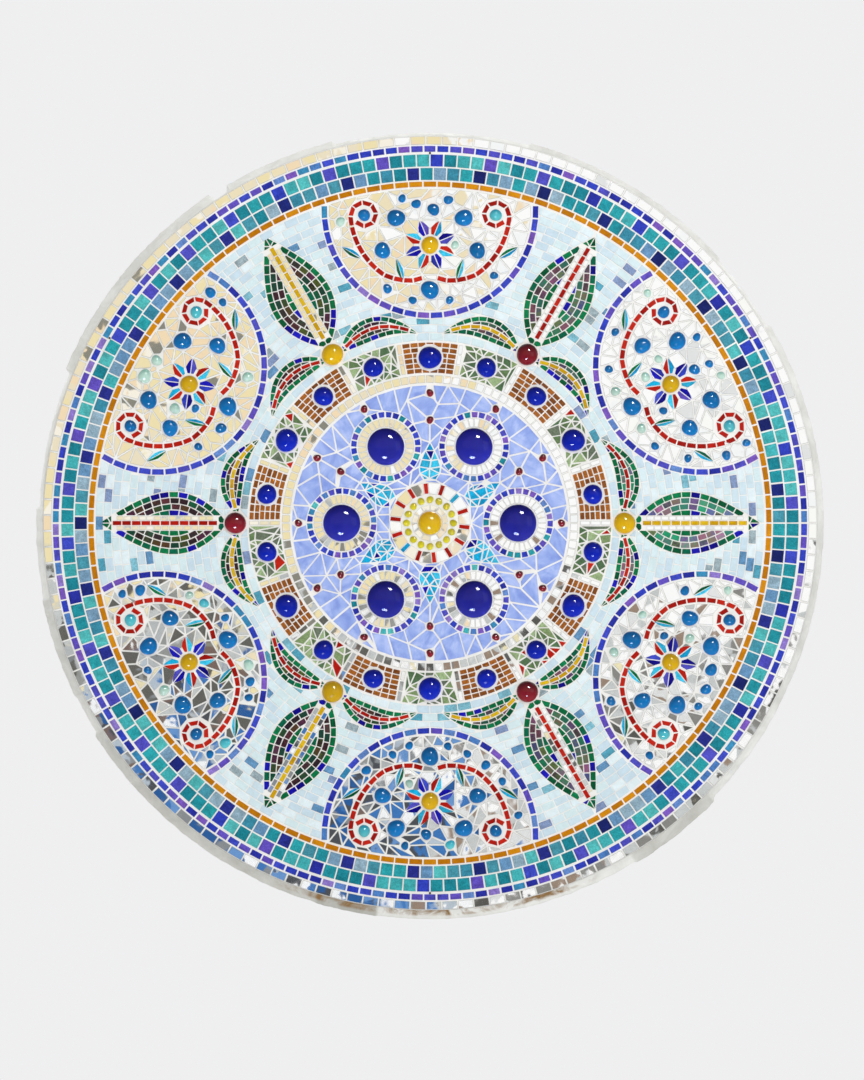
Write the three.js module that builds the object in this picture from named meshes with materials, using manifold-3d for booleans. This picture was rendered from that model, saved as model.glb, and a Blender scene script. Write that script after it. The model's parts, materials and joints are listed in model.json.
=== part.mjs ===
// A round wall mosaic about 1.17 m across: glass and mirror tesserae and domed glass gems set on a
// slab of mortar with a hand-trowelled edge. Six scalloped lobes stand round the rim with a leaf
// palmette between each two, and a jewelled band and a sun rosette lie at the centre.
//
// The panel is drawn lying flat, x to the right, y up the wall and z towards the viewer, and the
// last group stands it up: the back face lies in the plane y = 0 and the mosaic faces -Y.
import * as THREE from "three";
import { mergeVertices } from "three/addons/utils/BufferGeometryUtils.js";
import Module from "manifold-3d";

// Thicknesses, in millimetres
const BED_THICKNESS = 11;
const TILE_THICKNESS = 4;
const TILE_FACE = BED_THICKNESS + TILE_THICKNESS;

// The trowelled edge of the mortar
const COLLAR_FOOT_RADIUS = 582.5;
const COLLAR_INNER_RADIUS = 571.5;
const COLLAR_FOOT_HEIGHT = 5;
const COLLAR_TOP_HEIGHT = 13.5;
const COLLAR_WAVES = [
  { lobes: 1, size: 3.4, phase: -2.7 },
  { lobes: 3, size: 0.9, phase: 2.6 },
  { lobes: 11, size: 0.7, phase: 4.0 },
];

// The courses of the border, each as [inner radius, outer radius]
const EDGE_COURSE = [558.5, 570];
const DASH_COURSE = [547.5, 556];
const TURQUOISE_COURSE = [506, 543.5];
const ORANGE_COURSE = [496, 503.5];
const FIELD_RADIUS = 493.5;

// The lobes round the rim
const SECTORS = 6;
const SECTOR_ANGLE = (2 * Math.PI) / SECTORS;
const FIRST_LOBE_ANGLE = Math.PI / 2;
const LOBE_CENTRE = 462;
const LOBE_RADIUS = 150;
const LOBE_BORDER = [152, 160];
const GROUND_JOINT = 2;

// The gems of a lobe, as [distance out from the lobe's centre, distance sideways, radius]
const LOBE_GEMS = [
  [-118, 0, 13.5],
  [-52, 0, 13],
  [-60, 70, 12],
  [-60, -70, 12],
  [-12, 50, 13],
  [-12, -50, 13],
];

// The palmettes between the lobes
const CALYX_CENTRE = 287;
const CALYX_RADIUS = 16;
const CALYX_MARGIN = 2;
const LEAF_BASE = 300;
const LEAF_TIP = 487;
const LEAF_HALF_WIDTH = 46;
const LEAF_BELLY = 0.8;
const SIDE_LEAF_START = 2.6;
const SIDE_LEAF_END = 26.2;
const SIDE_LEAF_RADIUS = 284;
const SIDE_LEAF_RISE = 17;
const SIDE_LEAF_DROP = 4;
const SIDE_LEAF_HALF_WIDTH = 16.5;

// The jewelled band and the medallion
const BAND = [221, 267];
const BAND_GEM_CIRCLE = 244;
const BAND_GEM_RADII = [17, 14.5, 14.5];
const MEDALLION_COURSE = [207, 218];
const MEDALLION_RADIUS = 204.5;
const CABOCHON_CIRCLE = 130;
const CABOCHON_RADIUS = 27.5;
const CABOCHON_HEIGHT = 15;
const CABOCHON_GIRDLE = 4;
const SUN_RADIUS = 59;
const SUN_GEM_RADIUS = 17.5;
const SUN_BEAD_CIRCLE = 34.5;
const SUN_BEAD_RADIUS = 5.5;
const SUN_BEADS = 16;
const SUN_BEAD_RISE = 0.7 * SUN_BEAD_RADIUS;

// A gem stands this share of its diameter above the tesserae
const GEM_RISE = 0.34;

// Where the dome of a gem turns, as shares of its radius and of its rise
const GEM_SHOULDER = { out: 0.8, up: 0.62 };
const SUN_GEM_SHOULDER = { out: 0.75, up: 0.65 };

// The rings of a cabochon's dome, as shares of its radius
const CABOCHON_RINGS = [0.86, 0.52];

// The screws that hold the panel, in the joint between the dash course and the turquoise course
const SCREWS = 6;
const SCREW_CIRCLE = 545.5;
const SCREW_HEAD_RADIUS = 1.8;
const SCREW_SHANK_RADIUS = 1.2;
const SCREW_HOLE_RADIUS = 1.6;
const SCREW_HEAD_HEIGHT = 3.9;
const FIT_GAP = 0.3;

// How finely round things are faceted
const RING_SIDES = 48;
const LOBE_SIDES = 26;
const INNER_RING_SIDES = 32;
const LARGE_GEM_RADIUS = 15;
const GEM_SIDES = 8;
const CABOCHON_SIDES = 12;
const SMALL_SIDES = 6;
const LEAF_STEPS = 6;
const SIDE_LEAF_STEPS = 4;

// Points nearer than this are one, and a piece that joins or cuts another runs this far into it
const WELD = 1e-4;
const OVERLAP = 1;

// A leaf's direction is taken between two shares of its length this far on each side, and its
// outline runs past its ends by this share of its length for each millimetre that it is grown
const SHARE_STEP = 1e-3;
const TIP_REACH = 5e-3;

const COLOURS = {
  mortar: { color: 0xd9d8d4, roughness: 0.95, metalness: 0 },
  mirror: { color: 0xdcdcd6, roughness: 0.08, metalness: 1 },
  violet_blue: { color: 0x4a4bb4, roughness: 0.25, metalness: 0 },
  turquoise: { color: 0x3f9dab, roughness: 0.25, metalness: 0 },
  orange: { color: 0xd98a14, roughness: 0.3, metalness: 0 },
  leaf_green: { color: 0x1c6a45, roughness: 0.25, metalness: 0 },
  pale_blue: { color: 0xcfe3e8, roughness: 0.2, metalness: 0 },
  copper_brown: { color: 0x92571f, roughness: 0.3, metalness: 0 },
  periwinkle: { color: 0x9db2e6, roughness: 0.2, metalness: 0 },
  cobalt: { color: 0x1a1f96, roughness: 0.05, metalness: 0 },
  sun_yellow: { color: 0xe0b020, roughness: 0.1, metalness: 0 },
  screw_steel: { color: 0x3a3531, roughness: 0.6, metalness: 1 },
};

const wasm = await Module();
wasm.setup();

// A closed geometry as a solid that can be joined and cut.
function solidOf(geometry) {
  const bare = geometry.clone();
  bare.deleteAttribute("normal");
  bare.deleteAttribute("uv");
  const merged = mergeVertices(bare, WELD);
  return new wasm.Manifold(
    new wasm.Mesh({
      numProp: 3,
      vertProperties: merged.attributes.position.array,
      triVerts: new Uint32Array(merged.index.array),
    }),
  );
}

// A solid's vertices and triangles as a geometry.
function geometryOf(solid) {
  const { vertProperties, triVerts } = solid.getMesh();
  const geometry = new THREE.BufferGeometry();
  geometry.setAttribute("position", new THREE.BufferAttribute(vertProperties, 3));
  geometry.setIndex(new THREE.BufferAttribute(triVerts, 1));
  const faceted = geometry.toNonIndexed();
  faceted.computeVertexNormals();
  return faceted;
}

function polar(radius, angle) {
  return new THREE.Vector2(radius * Math.cos(angle), radius * Math.sin(angle));
}

// The points of a polygon with its corners on a circle.
function circlePoints(radius, sides, centre = new THREE.Vector2()) {
  return Array.from({ length: sides }, (_, i) =>
    polar(radius, (2 * Math.PI * i) / sides).add(centre),
  );
}

// A flat piece of the given outline, between two heights above the wall.
function plate(outline, low, high, holes = []) {
  const shape = new THREE.Shape(outline);
  shape.holes = holes.map((hole) => new THREE.Path(hole));
  return new THREE.ExtrudeGeometry(shape, { depth: high - low, bevelEnabled: false }).translate(0, 0, low);
}

function ring([inner, outer], sides, low = BED_THICKNESS, high = TILE_FACE) {
  return plate(circlePoints(outer, sides), low, high, [circlePoints(inner, sides)]);
}

// A body turned about the z axis from a profile of [radius, height] pairs, moved to its place.
function turned(profile, sides, centre = new THREE.Vector2()) {
  const points = profile.map(([radius, height]) => new THREE.Vector2(radius, height));
  return new THREE.LatheGeometry(points, sides).rotateX(Math.PI / 2).translate(centre.x, centre.y, 0);
}

// A low glass dome that grows out of the tesserae, to be joined to them.
function gemOnField(radius, centre) {
  const rise = 2 * radius * GEM_RISE;
  return turned(
    [
      [0, TILE_FACE - OVERLAP],
      [radius, TILE_FACE - OVERLAP],
      [radius * GEM_SHOULDER.out, TILE_FACE + rise * GEM_SHOULDER.up],
      [0, TILE_FACE + rise],
    ],
    radius < LARGE_GEM_RADIUS ? SMALL_SIDES : GEM_SIDES,
    centre,
  );
}

// The waviness of the trowelled edge at an angle.
function collarWave(angle) {
  return COLLAR_WAVES.reduce((sum, wave) => sum + wave.size * Math.sin(wave.lobes * angle + wave.phase), 0);
}

// A solid between successive rings of points, closed by a fan to a centre at each end.
function lofted(rings) {
  const sides = rings[0].length;
  const centres = [rings[0], rings[rings.length - 1]].map((points) => new THREE.Vector3(0, 0, points[0].z));
  const vertices = [...rings.flat(), ...centres];
  const first = rings.length * sides;
  const faces = [];
  for (let i = 0; i < sides; i++) {
    const next = (i + 1) % sides;
    faces.push(first, next, i);
    const last = (rings.length - 1) * sides;
    faces.push(first + 1, last + i, last + next);
    for (let r = 0; r < rings.length - 1; r++) {
      const low = r * sides;
      const high = low + sides;
      faces.push(low + i, low + next, high + next, low + i, high + next, high + i);
    }
  }
  const geometry = new THREE.BufferGeometry().setFromPoints(vertices);
  geometry.setIndex(faces);
  return geometry;
}

function mortarBed() {
  const profile = [
    { radius: COLLAR_FOOT_RADIUS, height: 0, wave: 1 },
    { radius: COLLAR_FOOT_RADIUS, height: COLLAR_FOOT_HEIGHT, wave: 1 },
    { radius: COLLAR_INNER_RADIUS, height: COLLAR_TOP_HEIGHT, wave: 0 },
    { radius: COLLAR_INNER_RADIUS, height: BED_THICKNESS, wave: 0 },
  ];
  const rings = profile.map(({ radius, height, wave }) =>
    Array.from({ length: RING_SIDES }, (_, i) => {
      const angle = (2 * Math.PI * i) / RING_SIDES;
      const point = polar(radius + wave * collarWave(angle), angle);
      return new THREE.Vector3(point.x, point.y, height);
    }),
  );
  const slab = solidOf(lofted(rings));
  const holes = screwPlaces().map((place) =>
    solidOf(plate(circlePoints(SCREW_HOLE_RADIUS, SMALL_SIDES, place), -OVERLAP, BED_THICKNESS + OVERLAP)),
  );
  return geometryOf(holes.reduce((rest, hole) => rest.subtract(hole), slab));
}

function lobeAngle(index) {
  return FIRST_LOBE_ANGLE + index * SECTOR_ANGLE;
}

function leafAngle(index) {
  return lobeAngle(index) - SECTOR_ANGLE / 2;
}

// A solid of the given outline that reaches past both faces of the tesserae, to cut them with.
function cutter(outline) {
  return solidOf(plate(outline, BED_THICKNESS - OVERLAP, TILE_FACE + OVERLAP));
}

function lobeCircle(index, radius) {
  return circlePoints(radius, LOBE_SIDES, polar(LOBE_CENTRE, lobeAngle(index)));
}

// A disc of the given radius round a lobe's centre, kept inside the field.
function lobeDisc(index, radius) {
  const disc = plate(lobeCircle(index, radius), BED_THICKNESS, TILE_FACE);
  return solidOf(disc).intersect(cutter(circlePoints(FIELD_RADIUS, RING_SIDES)));
}

// A lobe's mirror shards and the gems among them.
function lobeField(index) {
  const out = polar(1, lobeAngle(index));
  const side = new THREE.Vector2(-out.y, out.x);
  const gems = LOBE_GEMS.map(([outward, sideways, radius]) => {
    const centre = out
      .clone()
      .multiplyScalar(LOBE_CENTRE + outward)
      .addScaledVector(side, sideways);
    return solidOf(gemOnField(radius, centre));
  });
  return geometryOf(gems.reduce((all, gem) => all.add(gem), lobeDisc(index, LOBE_RADIUS)));
}

function lobeBorder(index) {
  const [inner, outer] = LOBE_BORDER;
  return geometryOf(lobeDisc(index, outer).subtract(cutter(lobeCircle(index, inner))));
}

// A leaf's half width at a share of its length, from nothing at the base to nothing at the tip.
function leafHalfWidth(share, halfWidth) {
  return halfWidth * Math.sin(Math.PI * Math.pow(share, LEAF_BELLY));
}

// The outline of a leaf along a spine, a function from a share of its length to a place.
function leafOutline(spine, halfWidth, steps, grow) {
  const sideOf = (share) => {
    const ahead = spine(share + SHARE_STEP).sub(spine(share - SHARE_STEP)).normalize();
    return new THREE.Vector2(-ahead.y, ahead.x);
  };
  const edge = (sign) =>
    Array.from({ length: steps - 1 }, (_, i) => {
      const share = (i + 1) / steps;
      const offset = sign * (leafHalfWidth(share, halfWidth) + grow);
      return spine(share).addScaledVector(sideOf(share), offset);
    });
  return [spine(-grow * TIP_REACH), ...edge(-1), spine(1 + grow * TIP_REACH), ...edge(1).reverse()];
}

function mainSpine(index) {
  return (share) => polar(THREE.MathUtils.lerp(LEAF_BASE, LEAF_TIP, share), leafAngle(index));
}

function sideSpine(index, sign) {
  return (share) => {
    const turn = THREE.MathUtils.lerp(SIDE_LEAF_START, SIDE_LEAF_END, share);
    const radius = SIDE_LEAF_RADIUS + SIDE_LEAF_RISE * Math.sin(Math.PI * share) - SIDE_LEAF_DROP * share;
    return polar(radius, leafAngle(index) + sign * THREE.MathUtils.degToRad(turn));
  };
}

// A palmette's three leaves and the flat under its gem, grown outwards by the given amount.
function palmetteBody(index, grow, low, high) {
  const outlines = [
    leafOutline(mainSpine(index), LEAF_HALF_WIDTH, LEAF_STEPS, grow),
    leafOutline(sideSpine(index, 1), SIDE_LEAF_HALF_WIDTH, SIDE_LEAF_STEPS, grow),
    leafOutline(sideSpine(index, -1), SIDE_LEAF_HALF_WIDTH, SIDE_LEAF_STEPS, grow),
    circlePoints(CALYX_RADIUS + CALYX_MARGIN + grow, GEM_SIDES, polar(CALYX_CENTRE, leafAngle(index))),
  ];
  return outlines.map((outline) => solidOf(plate(outline, low, high))).reduce((all, part) => all.add(part));
}

function palmette(index) {
  const gem = solidOf(gemOnField(CALYX_RADIUS, polar(CALYX_CENTRE, leafAngle(index))));
  return geometryOf(palmetteBody(index, 0, BED_THICKNESS, TILE_FACE).add(gem));
}

// The pale rows of tiles between the lobes, the palmettes and the jewelled band.
function paleBlueField() {
  const inner = BAND[1] + GROUND_JOINT;
  let field = solidOf(ring([inner, FIELD_RADIUS], RING_SIDES));
  for (let i = 0; i < SECTORS; i++) {
    field = field.subtract(cutter(lobeCircle(i, LOBE_BORDER[1] + GROUND_JOINT)));
    const palmetteSpace = palmetteBody(i, GROUND_JOINT, BED_THICKNESS - OVERLAP, TILE_FACE + OVERLAP);
    field = field.subtract(palmetteSpace);
  }
  return geometryOf(field);
}

// The band of brown and olive tiles with its ring of graded gems.
function jewelledBand() {
  const gems = SECTORS * BAND_GEM_RADII.length;
  let band = solidOf(ring(BAND, INNER_RING_SIDES));
  for (let i = 0; i < gems; i++) {
    const centre = polar(BAND_GEM_CIRCLE, FIRST_LOBE_ANGLE + (2 * Math.PI * i) / gems);
    band = band.add(solidOf(gemOnField(BAND_GEM_RADII[i % BAND_GEM_RADII.length], centre)));
  }
  return geometryOf(band);
}

function cabochonPlace(index) {
  return polar(CABOCHON_CIRCLE, leafAngle(index));
}

// The shards of the medallion, with round seats for the cabochons and the sun.
function medallionField() {
  const seats = Array.from({ length: SECTORS }, (_, i) =>
    circlePoints(CABOCHON_RADIUS + FIT_GAP, CABOCHON_SIDES, cabochonPlace(i)),
  );
  seats.push(circlePoints(SUN_RADIUS + GROUND_JOINT, INNER_RING_SIDES));
  return plate(circlePoints(MEDALLION_RADIUS, INNER_RING_SIDES), BED_THICKNESS, TILE_FACE, seats);
}

function cabochon(index) {
  const dome = CABOCHON_RINGS.map((share) => [
    CABOCHON_RADIUS * share,
    BED_THICKNESS + CABOCHON_HEIGHT * Math.sqrt(1 - share * share),
  ]);
  const profile = [
    [0, BED_THICKNESS],
    [CABOCHON_RADIUS, BED_THICKNESS],
    [CABOCHON_RADIUS, BED_THICKNESS + CABOCHON_GIRDLE],
    ...dome,
    [0, BED_THICKNESS + CABOCHON_HEIGHT],
  ];
  return turned(profile, CABOCHON_SIDES, cabochonPlace(index));
}

// The ring of petals and rays round the sun's gem, with its beads.
function sunRosette() {
  let rosette = solidOf(ring([SUN_GEM_RADIUS + FIT_GAP, SUN_RADIUS], 2 * GEM_SIDES));
  for (let i = 0; i < SUN_BEADS; i++) {
    const centre = polar(SUN_BEAD_CIRCLE, (2 * Math.PI * i) / SUN_BEADS);
    const bead = turned(
      [
        [0, TILE_FACE - OVERLAP],
        [SUN_BEAD_RADIUS, TILE_FACE - OVERLAP],
        [0, TILE_FACE + SUN_BEAD_RISE],
      ],
      SMALL_SIDES,
      centre,
    );
    rosette = rosette.add(solidOf(bead));
  }
  return geometryOf(rosette);
}

function sunGem() {
  const rise = 2 * SUN_GEM_RADIUS * GEM_RISE;
  return turned(
    [
      [0, BED_THICKNESS],
      [SUN_GEM_RADIUS, BED_THICKNESS],
      [SUN_GEM_RADIUS, TILE_FACE],
      [SUN_GEM_RADIUS * SUN_GEM_SHOULDER.out, TILE_FACE + rise * SUN_GEM_SHOULDER.up],
      [0, TILE_FACE + rise],
    ],
    2 * GEM_SIDES,
  );
}

function screwPlaces() {
  return Array.from({ length: SCREWS }, (_, i) => polar(SCREW_CIRCLE, ((i + 0.5) * 2 * Math.PI) / SCREWS));
}

// A screw cut off at the wall, with its head in the joint.
function fixingScrew(place) {
  const headFoot = BED_THICKNESS + FIT_GAP;
  return turned(
    [
      [0, 0],
      [SCREW_SHANK_RADIUS, 0],
      [SCREW_SHANK_RADIUS, headFoot],
      [SCREW_HEAD_RADIUS, headFoot],
      [SCREW_HEAD_RADIUS, BED_THICKNESS + SCREW_HEAD_HEIGHT],
      [0, BED_THICKNESS + SCREW_HEAD_HEIGHT],
    ],
    SMALL_SIDES,
    place,
  );
}

const panel = new THREE.Group();
panel.name = "mosaic_panel";
panel.rotation.x = Math.PI / 2;

function addPiece(name, geometry, colour) {
  const piece = new THREE.Mesh(geometry, new THREE.MeshStandardMaterial(COLOURS[colour]));
  piece.name = name;
  panel.add(piece);
}

addPiece("mortar_bed", mortarBed(), "mortar");
addPiece("edge_mirror_course", ring(EDGE_COURSE, RING_SIDES), "mirror");
addPiece("blue_dash_course", ring(DASH_COURSE, RING_SIDES), "violet_blue");
addPiece("turquoise_course", ring(TURQUOISE_COURSE, RING_SIDES), "turquoise");
addPiece("orange_course", ring(ORANGE_COURSE, RING_SIDES), "orange");
for (let i = 0; i < SECTORS; i++) {
  addPiece(`lobe_field_${i + 1}`, lobeField(i), "mirror");
  addPiece(`lobe_border_${i + 1}`, lobeBorder(i), "violet_blue");
  addPiece(`palmette_${i + 1}`, palmette(i), "leaf_green");
  addPiece(`cabochon_${i + 1}`, cabochon(i), "cobalt");
}
addPiece("pale_blue_field", paleBlueField(), "pale_blue");
addPiece("jewelled_band", jewelledBand(), "copper_brown");
addPiece("medallion_mirror_course", ring(MEDALLION_COURSE, INNER_RING_SIDES), "mirror");
addPiece("medallion_field", medallionField(), "periwinkle");
addPiece("sun_rosette", sunRosette(), "sun_yellow");
addPiece("sun_gem", sunGem(), "sun_yellow");
screwPlaces().forEach((place, i) => {
  addPiece(`fixing_screw_${i + 1}`, fixingScrew(place), "screw_steel");
});

export default panel;
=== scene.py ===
"""Round wall mosaic of mirror shards, glass tesserae and domed glass gems on a mortar bed.

The panel stands upright: x runs to the viewer's right, z up the wall, and the mosaic faces -y.
Every design size is in millimetres in the plane of the panel, as (x, z) from its centre, and a
height is measured out from the wall. `place` turns both into a point of the scene in metres.
"""
from __future__ import annotations

import json
import logging
import math
import random
from dataclasses import dataclass, field
from typing import Callable, Iterable, Sequence

import bmesh
import bpy
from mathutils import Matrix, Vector, geometry, noise

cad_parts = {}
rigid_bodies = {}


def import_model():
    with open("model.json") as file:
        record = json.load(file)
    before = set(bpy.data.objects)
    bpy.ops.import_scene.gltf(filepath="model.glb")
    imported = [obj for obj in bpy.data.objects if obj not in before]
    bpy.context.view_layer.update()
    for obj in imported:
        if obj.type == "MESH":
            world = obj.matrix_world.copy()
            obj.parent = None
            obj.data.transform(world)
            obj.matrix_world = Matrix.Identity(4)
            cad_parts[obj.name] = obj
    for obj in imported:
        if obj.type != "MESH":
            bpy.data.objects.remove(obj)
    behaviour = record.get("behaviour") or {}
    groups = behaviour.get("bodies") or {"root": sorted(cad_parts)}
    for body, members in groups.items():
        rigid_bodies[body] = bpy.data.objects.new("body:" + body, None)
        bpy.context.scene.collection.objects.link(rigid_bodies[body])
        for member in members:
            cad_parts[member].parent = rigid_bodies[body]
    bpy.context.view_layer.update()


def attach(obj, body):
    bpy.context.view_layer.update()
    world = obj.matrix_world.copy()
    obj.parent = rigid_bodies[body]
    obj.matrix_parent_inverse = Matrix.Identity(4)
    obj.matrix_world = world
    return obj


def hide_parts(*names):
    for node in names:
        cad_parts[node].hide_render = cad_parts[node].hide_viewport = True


LOG = logging.getLogger("mosaic_panel")

Polygon = list[Vector]
Boundary = Callable[[Vector], float]
Rgb = tuple[float, float, float]

MM = 0.001
FULL_TURN = 2 * math.pi
MERGE_DISTANCE = 1e-6

BED_THICKNESS = 11.0
TILE_FACE = 15.0
GROUT_FACE = 14.25
HAND_ERROR = 0.25
EVEN_TILT = 0.005
SECTORS = 6
SEED = 20417
CENTRE = Vector((0, 0))


def polar(radius: float, angle: float) -> Vector:
    """A point of the panel's plane at a radius and an angle in radians."""
    return Vector((radius * math.cos(angle), radius * math.sin(angle)))


def place(point: Vector, height: float) -> Vector:
    """A point of the panel's plane, raised from the wall, as a point of the scene in metres."""
    return Vector((point.x, -height, point.y)) * MM


def area(polygon: Sequence[Vector]) -> float:
    """The signed area of a polygon, positive when it runs anticlockwise."""
    return 0.5 * sum(a.x * b.y - b.x * a.y for a, b in zip(polygon, [*polygon[1:], polygon[0]]))


def centroid(polygon: Sequence[Vector]) -> Vector:
    """The mean of a polygon's corners."""
    return sum(polygon, Vector((0.0, 0.0))) / len(polygon)


def clip(polygon: Polygon, origin: Vector, inward: Vector) -> Polygon:
    """Keep the part of a polygon on one side of a line.

    Args:
        polygon: the corners, in order.
        origin: a point of the line.
        inward: the direction of the side that is kept.

    Returns:
        The corners of what is left, or an empty list.
    """
    kept: Polygon = []
    for a, b in zip(polygon, [*polygon[1:], polygon[0]]):
        da, db = (a - origin).dot(inward), (b - origin).dot(inward)
        if da >= 0:
            kept.append(a)
        if da * db < 0:
            kept.append(a.lerp(b, da / (da - db)))
    return kept


def inset(polygon: Polygon, distance: float) -> Polygon:
    """A convex anticlockwise polygon with each side moved inwards."""
    result = list(polygon)
    for a, b in zip(polygon, [*polygon[1:], polygon[0]]):
        along = (b - a).normalized()
        inward = Vector((-along.y, along.x))
        result = clip(result, a + inward * distance, inward)
        if len(result) < 3:
            return []
    return result


def trim(polygon: Polygon, boundaries: Iterable[Boundary], gap: float) -> Polygon:
    """Cut a small polygon back to the inside of some smooth boundaries.

    Args:
        polygon: the corners, in order.
        boundaries: signed distances in millimetres, positive inside.
        gap: how far the polygon stays from each boundary.

    Returns:
        The corners of what is left, or an empty list.
    """
    step, level = 0.05, 1e-4
    for boundary in boundaries:
        values = [boundary(p) for p in polygon]
        if min(values) >= gap:
            continue
        if max(values) <= gap:
            return []
        middle = centroid(polygon)
        here = boundary(middle)
        slope = Vector((boundary(middle + Vector((step, 0))) - here,
                        boundary(middle + Vector((0, step))) - here)) / step
        if slope.length < level:
            return []
        inward = slope.normalized()
        polygon = clip(polygon, middle + inward * ((gap - here) / slope.length), inward)
        if len(polygon) < 3:
            return []
    return polygon


def width(polygon: Sequence[Vector]) -> float:
    """Twice the area over the longest diagonal, a measure of how wide a small piece is."""
    longest = max((a - b).length for a in polygon for b in polygon)
    return 2 * abs(area(polygon)) / longest if longest else 0.0


def inside(point: Vector, polygon: Sequence[Vector]) -> bool:
    """Whether a point lies in a polygon of any shape."""
    odd = False
    for a, b in zip(polygon, [*polygon[1:], polygon[0]]):
        if (a.y > point.y) != (b.y > point.y):
            if point.x < a.x + (point.y - a.y) * (b.x - a.x) / (b.y - a.y):
                odd = not odd
    return odd


def circle(centre: Vector, radius: float, spacing: float, turn: float = 0.0) -> Polygon:
    """The corners of a round outline, about one to each spacing."""
    fewest = 7
    count = max(fewest, round(FULL_TURN * radius / spacing))
    return [centre + polar(radius, turn + FULL_TURN * i / count) for i in range(count)]


def resample(path: Sequence[Vector], pitch: float) -> Polygon:
    """Points along a path, evenly spaced at nearly the pitch, with both its ends."""
    lengths = [(b - a).length for a, b in zip(path, path[1:])]
    total = sum(lengths)
    count = max(1, round(total / pitch))
    points, done, index = [path[0].copy()], 0.0, 0
    for i in range(1, count):
        target = total * i / count
        while index < len(lengths) - 1 and done + lengths[index] < target:
            done += lengths[index]
            index += 1
        points.append(path[index].lerp(path[index + 1], (target - done) / lengths[index]))
    return [*points, path[-1].copy()]


def sides(path: Sequence[Vector], offset: float) -> Polygon:
    """A path moved to its left by the offset, or to its right by a negative one."""
    moved = []
    for i, point in enumerate(path):
        along = (path[min(i + 1, len(path) - 1)] - path[max(i - 1, 0)]).normalized()
        moved.append(point + Vector((-along.y, along.x)) * offset)
    return moved


def linear(colour: str) -> Rgb:
    """An sRGB hex colour, such as "#3355aa", as linear red, green and blue."""
    values = [int(colour[i:i + 2], 16) / 255 for i in (1, 3, 5)]
    return tuple(v / 12.92 if v <= 0.04045 else ((v + 0.055) / 1.055) ** 2.4 for v in values)


# Finishes


def feed(tree: bpy.types.NodeTree, node: bpy.types.Node, inputs: dict) -> None:
    """Give a node its inputs, by name or number: output sockets are linked and values are set."""
    for name, value in inputs.items():
        if isinstance(value, bpy.types.NodeSocket):
            tree.links.new(value, node.inputs[name])
        else:
            node.inputs[name].default_value = value


def add_node(tree: bpy.types.NodeTree, kind: str, inputs: dict | None = None,
             **settings) -> bpy.types.Node:
    """Add a shader node.

    Args:
        tree: the node tree.
        kind: the node's type name, without the leading "ShaderNode".
        inputs: values or output sockets, by input name or number.
        settings: the node's own properties.

    Returns:
        The new node.
    """
    node = tree.nodes.new("ShaderNode" + kind)
    for name, value in settings.items():
        setattr(node, name, value)
    feed(tree, node, inputs or {})
    return node


def ramp(tree: bpy.types.NodeTree, factor: bpy.types.NodeSocket, stops: Sequence[tuple[float, str]],
         constant: bool = False) -> bpy.types.NodeSocket:
    """A colour ramp of sRGB stops over a factor, blended or in plain steps."""
    node = add_node(tree, "ValToRGB", {"Fac": factor})
    node.color_ramp.interpolation = "CONSTANT" if constant else "LINEAR"
    elements = node.color_ramp.elements
    while len(elements) < len(stops):
        elements.new(1.0)
    for element, (position, colour) in zip(elements, stops):
        element.position = position
        element.color = (*linear(colour), 1.0)
    return node.outputs["Color"]


class Finish:
    """A surface of the panel, made a Blender material the first time it is asked for."""

    name: str

    def material(self) -> bpy.types.Material:
        """The Blender material of this finish."""
        found = bpy.data.materials.get(self.name)
        if found is None:
            found = bpy.data.materials.new(self.name)
            found.use_nodes = True
            tree = found.node_tree
            shader = tree.nodes["Principled BSDF"]
            self.dress(tree, shader)
        return found

    def dress(self, tree: bpy.types.NodeTree, shader: bpy.types.Node) -> None:
        """Set the shader's sockets and link its patterns."""
        raise NotImplementedError


@dataclass(frozen=True)
class VitreousGlass(Finish):
    """Opaque cast glass tesserae: an even colour with a fine grain of paler and darker specks."""

    name: str
    colours: tuple[str, ...]
    roughness: float = 0.2
    grain_mm: float = 1.6
    grain: float = 0.3
    streak_mm: float = 14.0
    clouds: float = 0.2

    def dress(self, tree: bpy.types.NodeTree, shader: bpy.types.Node) -> None:
        """Blend the colours by tile and grain them."""
        place_of = add_node(tree, "TexCoord").outputs["Object"]
        tone = add_node(tree, "Attribute", attribute_name="tone").outputs["Fac"]
        last = len(self.colours)
        base = ramp(tree, tone, [(i / last, c) for i, c in enumerate(self.colours)], constant=True)
        specks = add_node(tree, "TexNoise", {"Vector": place_of, "Scale": 1 / (self.grain_mm * MM),
                                             "Detail": 2.0, "Roughness": 0.7}).outputs["Fac"]
        clouds = add_node(tree, "TexNoise", {"Vector": place_of, "Scale": 1 / (self.streak_mm * MM),
                                             "Detail": 3.0, "Distortion": 1.2}).outputs["Fac"]
        speck_gain = add_node(tree, "MapRange", {"Value": specks, "From Min": 0.3, "From Max": 0.7,
                                                 "To Min": 1 - self.grain,
                                                 "To Max": 1 + self.grain}).outputs["Result"]
        cloud_gain = add_node(tree, "MapRange", {"Value": clouds, "From Min": 0.3, "From Max": 0.7,
                                                 "To Min": 1 - self.clouds,
                                                 "To Max": 1 + self.clouds}).outputs["Result"]
        gain = add_node(tree, "Math", {0: speck_gain, 1: cloud_gain}, operation="MULTIPLY").outputs[0]
        colour = add_node(tree, "VectorMath", {0: base, "Scale": gain}, operation="SCALE").outputs["Vector"]
        bump = add_node(tree, "Bump", {"Height": specks, "Strength": 0.12, "Distance": 0.3 * MM})
        feed(tree, shader, {"Base Color": colour, "Normal": bump.outputs["Normal"],
                            "Roughness": self.roughness, "Specular IOR Level": 0.07})


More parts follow.
